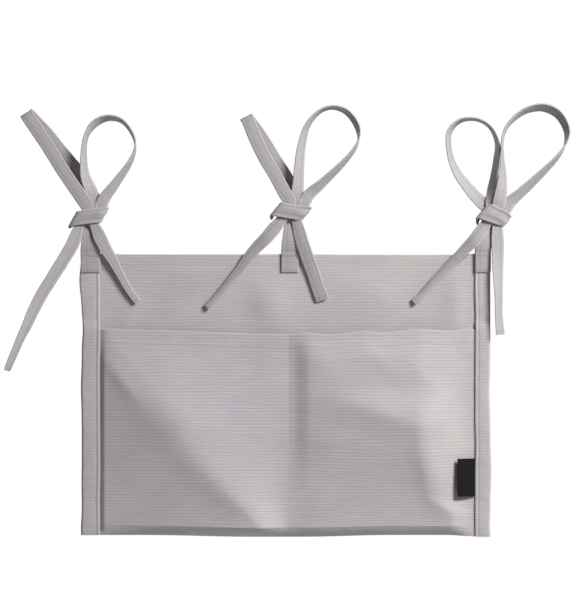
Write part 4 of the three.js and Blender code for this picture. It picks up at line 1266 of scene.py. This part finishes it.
def sewn_course(shape, depth, layer, bulge):
    """The way of a sewn strap: straight up its tab, over to its layer in the knot by a soft step with half
    a sine of bulge, and on into the band."""
    tab_x = shape["tab"][0]
    knot_x, knot_z = shape["knot"]
    top = knot_z + core_bottom(shape["band"]) - GAP
    rows = [(tab_x, PANEL_TOP - drop, depth, 0) for drop in (TAB_HEIGHT, 15, 7)]
    for t in np.linspace(0, 1, 7):
        s = float(smooth(t))
        x = blend_between(tab_x, knot_x + shape["shift"], s)
        y = blend_between(depth, layer, s) + bulge * math.sin(math.pi * t)
        rows.append((x, PANEL_TOP + GAP + (top - PANEL_TOP) * t, y, 0))
    x, _, y, _ = rows[-1]
    return [*rows, (x, knot_z + band_foot(shape["band"], x - knot_x) + 4.0, y, 0)]


def make_sewn_strap(seed, bow, shape, face, depth, layer, bulge):
    """The front or back strap of a tie, sewn to the panel by two rows across its tab. It narrows by a soft
    step from the tab to the knot, and has a ridge where it leaves the panel."""
    wide, thick = strap_sizes()
    narrow = wide * 0.94
    tab_x, tab_width = shape["tab"]

    def width_at(way, total):
        return tab_width + (narrow - tab_width) * smooth((way - TAB_HEIGHT) / (total - TAB_HEIGHT - 5.0))

    cloth = Cloth()
    course = sewn_course(shape, depth, layer, bulge)
    length = add_strap(
        cloth, course, np.zeros(3), width_at, thick, seed, fixed=0.0, steps=12, start_tip=True,
        sewn=(2.0, 6.0), ridge=22.4, rows_at=(3.2, 19.6))
    out = FRONT if face == "front" else -FRONT
    at = np.arange(tab_x - tab_width / 2 + 2.2, tab_x + tab_width / 2 - 2, 3.0)
    for drop in (20.0, 3.5):
        cloth.stitches(places(at, depth + out[1] * (thick / 2 + 0.02), PANEL_TOP - drop), EAST, out)
    piece = dressed(cloth, f"{bow}_{face}_strap", "strap_canvas")
    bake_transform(piece)
    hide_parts(f"{bow}_tab_{face}", f"{bow}_riser_{face}")


class ORGANIZER_OT_sewn_straps(bpy.types.Operator):
    """The six straps that carry the panel: sewn flat to its top edge, front and back, and led up to the
    knots."""

    bl_idname = "organizer.sewn_straps"
    bl_label = "Sewn straps"

    def execute(self, context):
        for number, (bow, shape) in enumerate(BOWS.items()):
            make_sewn_strap(11.0 + number, bow, shape, "front", -shape["depth"], LAYERS[1], -2.6)
            make_sewn_strap(14.0 + number, bow, shape, "back", 3.7, LAYERS[0], 7.0)
        return {"FINISHED"}


class ORGANIZER_OT_label(bpy.types.Operator):
    """A bare folded ribbon, sewn in at the right binding. It leans on the pocket's slope by a power of its
    width and waves a little towards its free edge, and its faces are a quarter ellipse at the top and
    foot."""

    bl_idname = "organizer.label"
    bl_label = "Side label"

    def execute(self, context):
        low, high = LABEL_LOW, LABEL_HIGH
        rows, full = rounded_rim(high[2] - low[2], 40, 0.35)
        z = low[2] + rows[:, None]
        t = np.linspace(0, 1, 36)[None]
        x = high[0] - 0.1 - (high[0] - low[0] - 0.5) * t
        lift = (high[1] - low[1] - 0.8) * smooth(t * 0.9 + 0.05) ** 0.85 - 0.5 * bell(t, 0, 0.1)
        y = high[1] - 0.45 - lift + 0.25 * np.sin(z / 9.0) * t - 1.8 * t**1.3
        outline = both_faces(places(x, y), 0.38 * full[:, None] * thin_ends(t.size, 0.45))
        rings = places(outline[..., 0], outline[..., 1], z)
        cloth = Cloth(sewn_to_panel=True)
        cloth.loft(rings, closed(rings[..., [0, 2]]))
        label = cloth.piece("bare_ribbon_label", [finish_named("black_ribbon")])
        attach(label, "label")
        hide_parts("side_label")
        return {"FINISHED"}


# Studio

STUDIO_TARGET = (0.0, 0.0, -0.13)
FLOOR_RADIUS = 3.2
WARM_LIGHT = (1.0, 0.985, 0.965)
VIOLET_LIGHT = (0.86, 0.78, 1.0)
CAMERA_MIDDLE = (0.00856, -0.0736)
CAMERA_REACH = 0.7335
SENSOR_WIDTH = 36.0


def placed(name, data, place, turn):
    """Links a lamp or camera to the scene at a place and with a turn."""
    holder = bpy.data.objects.new(name, data)
    holder.location = place
    holder.rotation_euler = turn
    bpy.context.scene.collection.objects.link(holder)
    return holder


def make_floor(drop):
    """A round pale floor at that distance under the rail."""
    turn = np.linspace(0, 2 * math.pi, 97)[:-1]
    rim = places(FLOOR_RADIUS * np.cos(turn), FLOOR_RADIUS * np.sin(turn), -drop)
    mesh = bpy.data.meshes.new("floor")
    mesh.from_pydata(rim.tolist(), [], [list(range(len(turn)))])
    mesh.materials.append(floor_material())
    floor = bpy.data.objects.new("floor", mesh)
    bpy.context.scene.collection.objects.link(floor)


def make_surroundings(sky):
    """White surroundings that light the organizer only faintly."""
    world = bpy.data.worlds.new("studio")
    world.use_nodes = True
    bpy.context.scene.world = world
    n = Nodes(world)
    soft = n.add("ShaderNodeBackground", {"Color": (*VIOLET_LIGHT, 1), "Strength": sky})
    white = n.add("ShaderNodeBackground", {"Color": (1, 1, 1, 1), "Strength": 1.0})
    mixed = n.add("ShaderNodeMixShader", {0: n.seen_directly(), 1: soft.outputs[0], 2: white.outputs[0]})
    n.add("ShaderNodeOutputWorld", {0: mixed.outputs[0]})


def make_lamp(name, place, size, power, tint):
    """A round soft lamp that faces the organizer's middle."""
    lamp = bpy.data.lights.new(name, "AREA")
    lamp.shape = "DISK"
    lamp.size = size
    lamp.energy = power
    lamp.color = tint
    facing = Vector(STUDIO_TARGET) - Vector(place)
    placed(name, lamp, place, facing.to_track_quat("-Z", "Y").to_euler())


def make_camera(lens):
    """The camera straight in front, as far away as the lens needs for the same picture."""
    camera = bpy.data.cameras.new("front")
    camera.lens = lens
    camera.sensor_width = SENSOR_WIDTH
    camera.sensor_fit = "AUTO"
    camera.clip_end = 60.0
    place = (CAMERA_MIDDLE[0], -CAMERA_REACH * lens / SENSOR_WIDTH, CAMERA_MIDDLE[1])
    bpy.context.scene.camera = placed("front", camera, place, (math.pi / 2, 0.0, 0.0))


class ORGANIZER_OT_studio(bpy.types.Operator):
    """A pale floor under the hanging organizer, soft lamps, white surroundings and the camera in front."""

    bl_idname = "organizer.studio"
    bl_label = "Studio"

    def execute(self, context):
        stage = context.scene.organizer_stage
        make_floor(stage.floor_drop)
        make_surroundings(stage.sky)
        make_lamp("key", (1.75, -1.6, 1.4), 1.1, stage.key_power, WARM_LIGHT)
        make_lamp("fill", (-0.6, -0.9, 0.6), 0.6, stage.fill_power, VIOLET_LIGHT)
        make_lamp("rear", (-1.3, 2.3, 1.5), 1.2, stage.rear_power, WARM_LIGHT)
        make_camera(stage.lens)
        context.scene.view_settings.view_transform = "Standard"
        return {"FINISHED"}


class ORGANIZER_PT_tools(bpy.types.Panel):
    """Buttons for each operator, and the sizes and colours."""

    bl_label = "Crib organizer"
    bl_idname = "ORGANIZER_PT_tools"
    bl_space_type = "VIEW_3D"
    bl_region_type = "UI"
    bl_category = "Organizer"

    def draw(self, context):
        for operator in OPERATORS:
            self.layout.operator(operator.bl_idname)
        for name, group in SETTINGS.items():
            box = self.layout.box()
            for key in group.__annotations__:
                box.prop(getattr(context.scene, name), key)


OPERATORS = (
    ORGANIZER_OT_panel, ORGANIZER_OT_bindings, ORGANIZER_OT_pockets, ORGANIZER_OT_knots, ORGANIZER_OT_loops,
    ORGANIZER_OT_tails, ORGANIZER_OT_sewn_straps, ORGANIZER_OT_label, ORGANIZER_OT_studio,
)
SETTINGS = {
    "organizer_cloth": OrganizerCloth,
    "organizer_panel": OrganizerPanel,
    "organizer_pocket": OrganizerPocket,
    "organizer_tie": OrganizerTie,
    "organizer_stage": OrganizerStage,
}


def register():
    for item in (*SETTINGS.values(), *OPERATORS, ORGANIZER_PT_tools):
        bpy.utils.register_class(item)
    for name, group in SETTINGS.items():
        setattr(bpy.types.Scene, name, PointerProperty(type=group))


def unregister():
    for name in SETTINGS:
        delattr(bpy.types.Scene, name)
    for item in (ORGANIZER_PT_tools, *reversed(OPERATORS), *reversed(SETTINGS.values())):
        bpy.utils.unregister_class(item)


def main():
    register()
    for operator in OPERATORS:
        family, action = operator.bl_idname.split(".")
        if getattr(getattr(bpy.ops, family), action)() != {"FINISHED"}:
            raise RuntimeError(f"{operator.bl_label} couldn't be made")


if __name__ == "__main__":
    main()
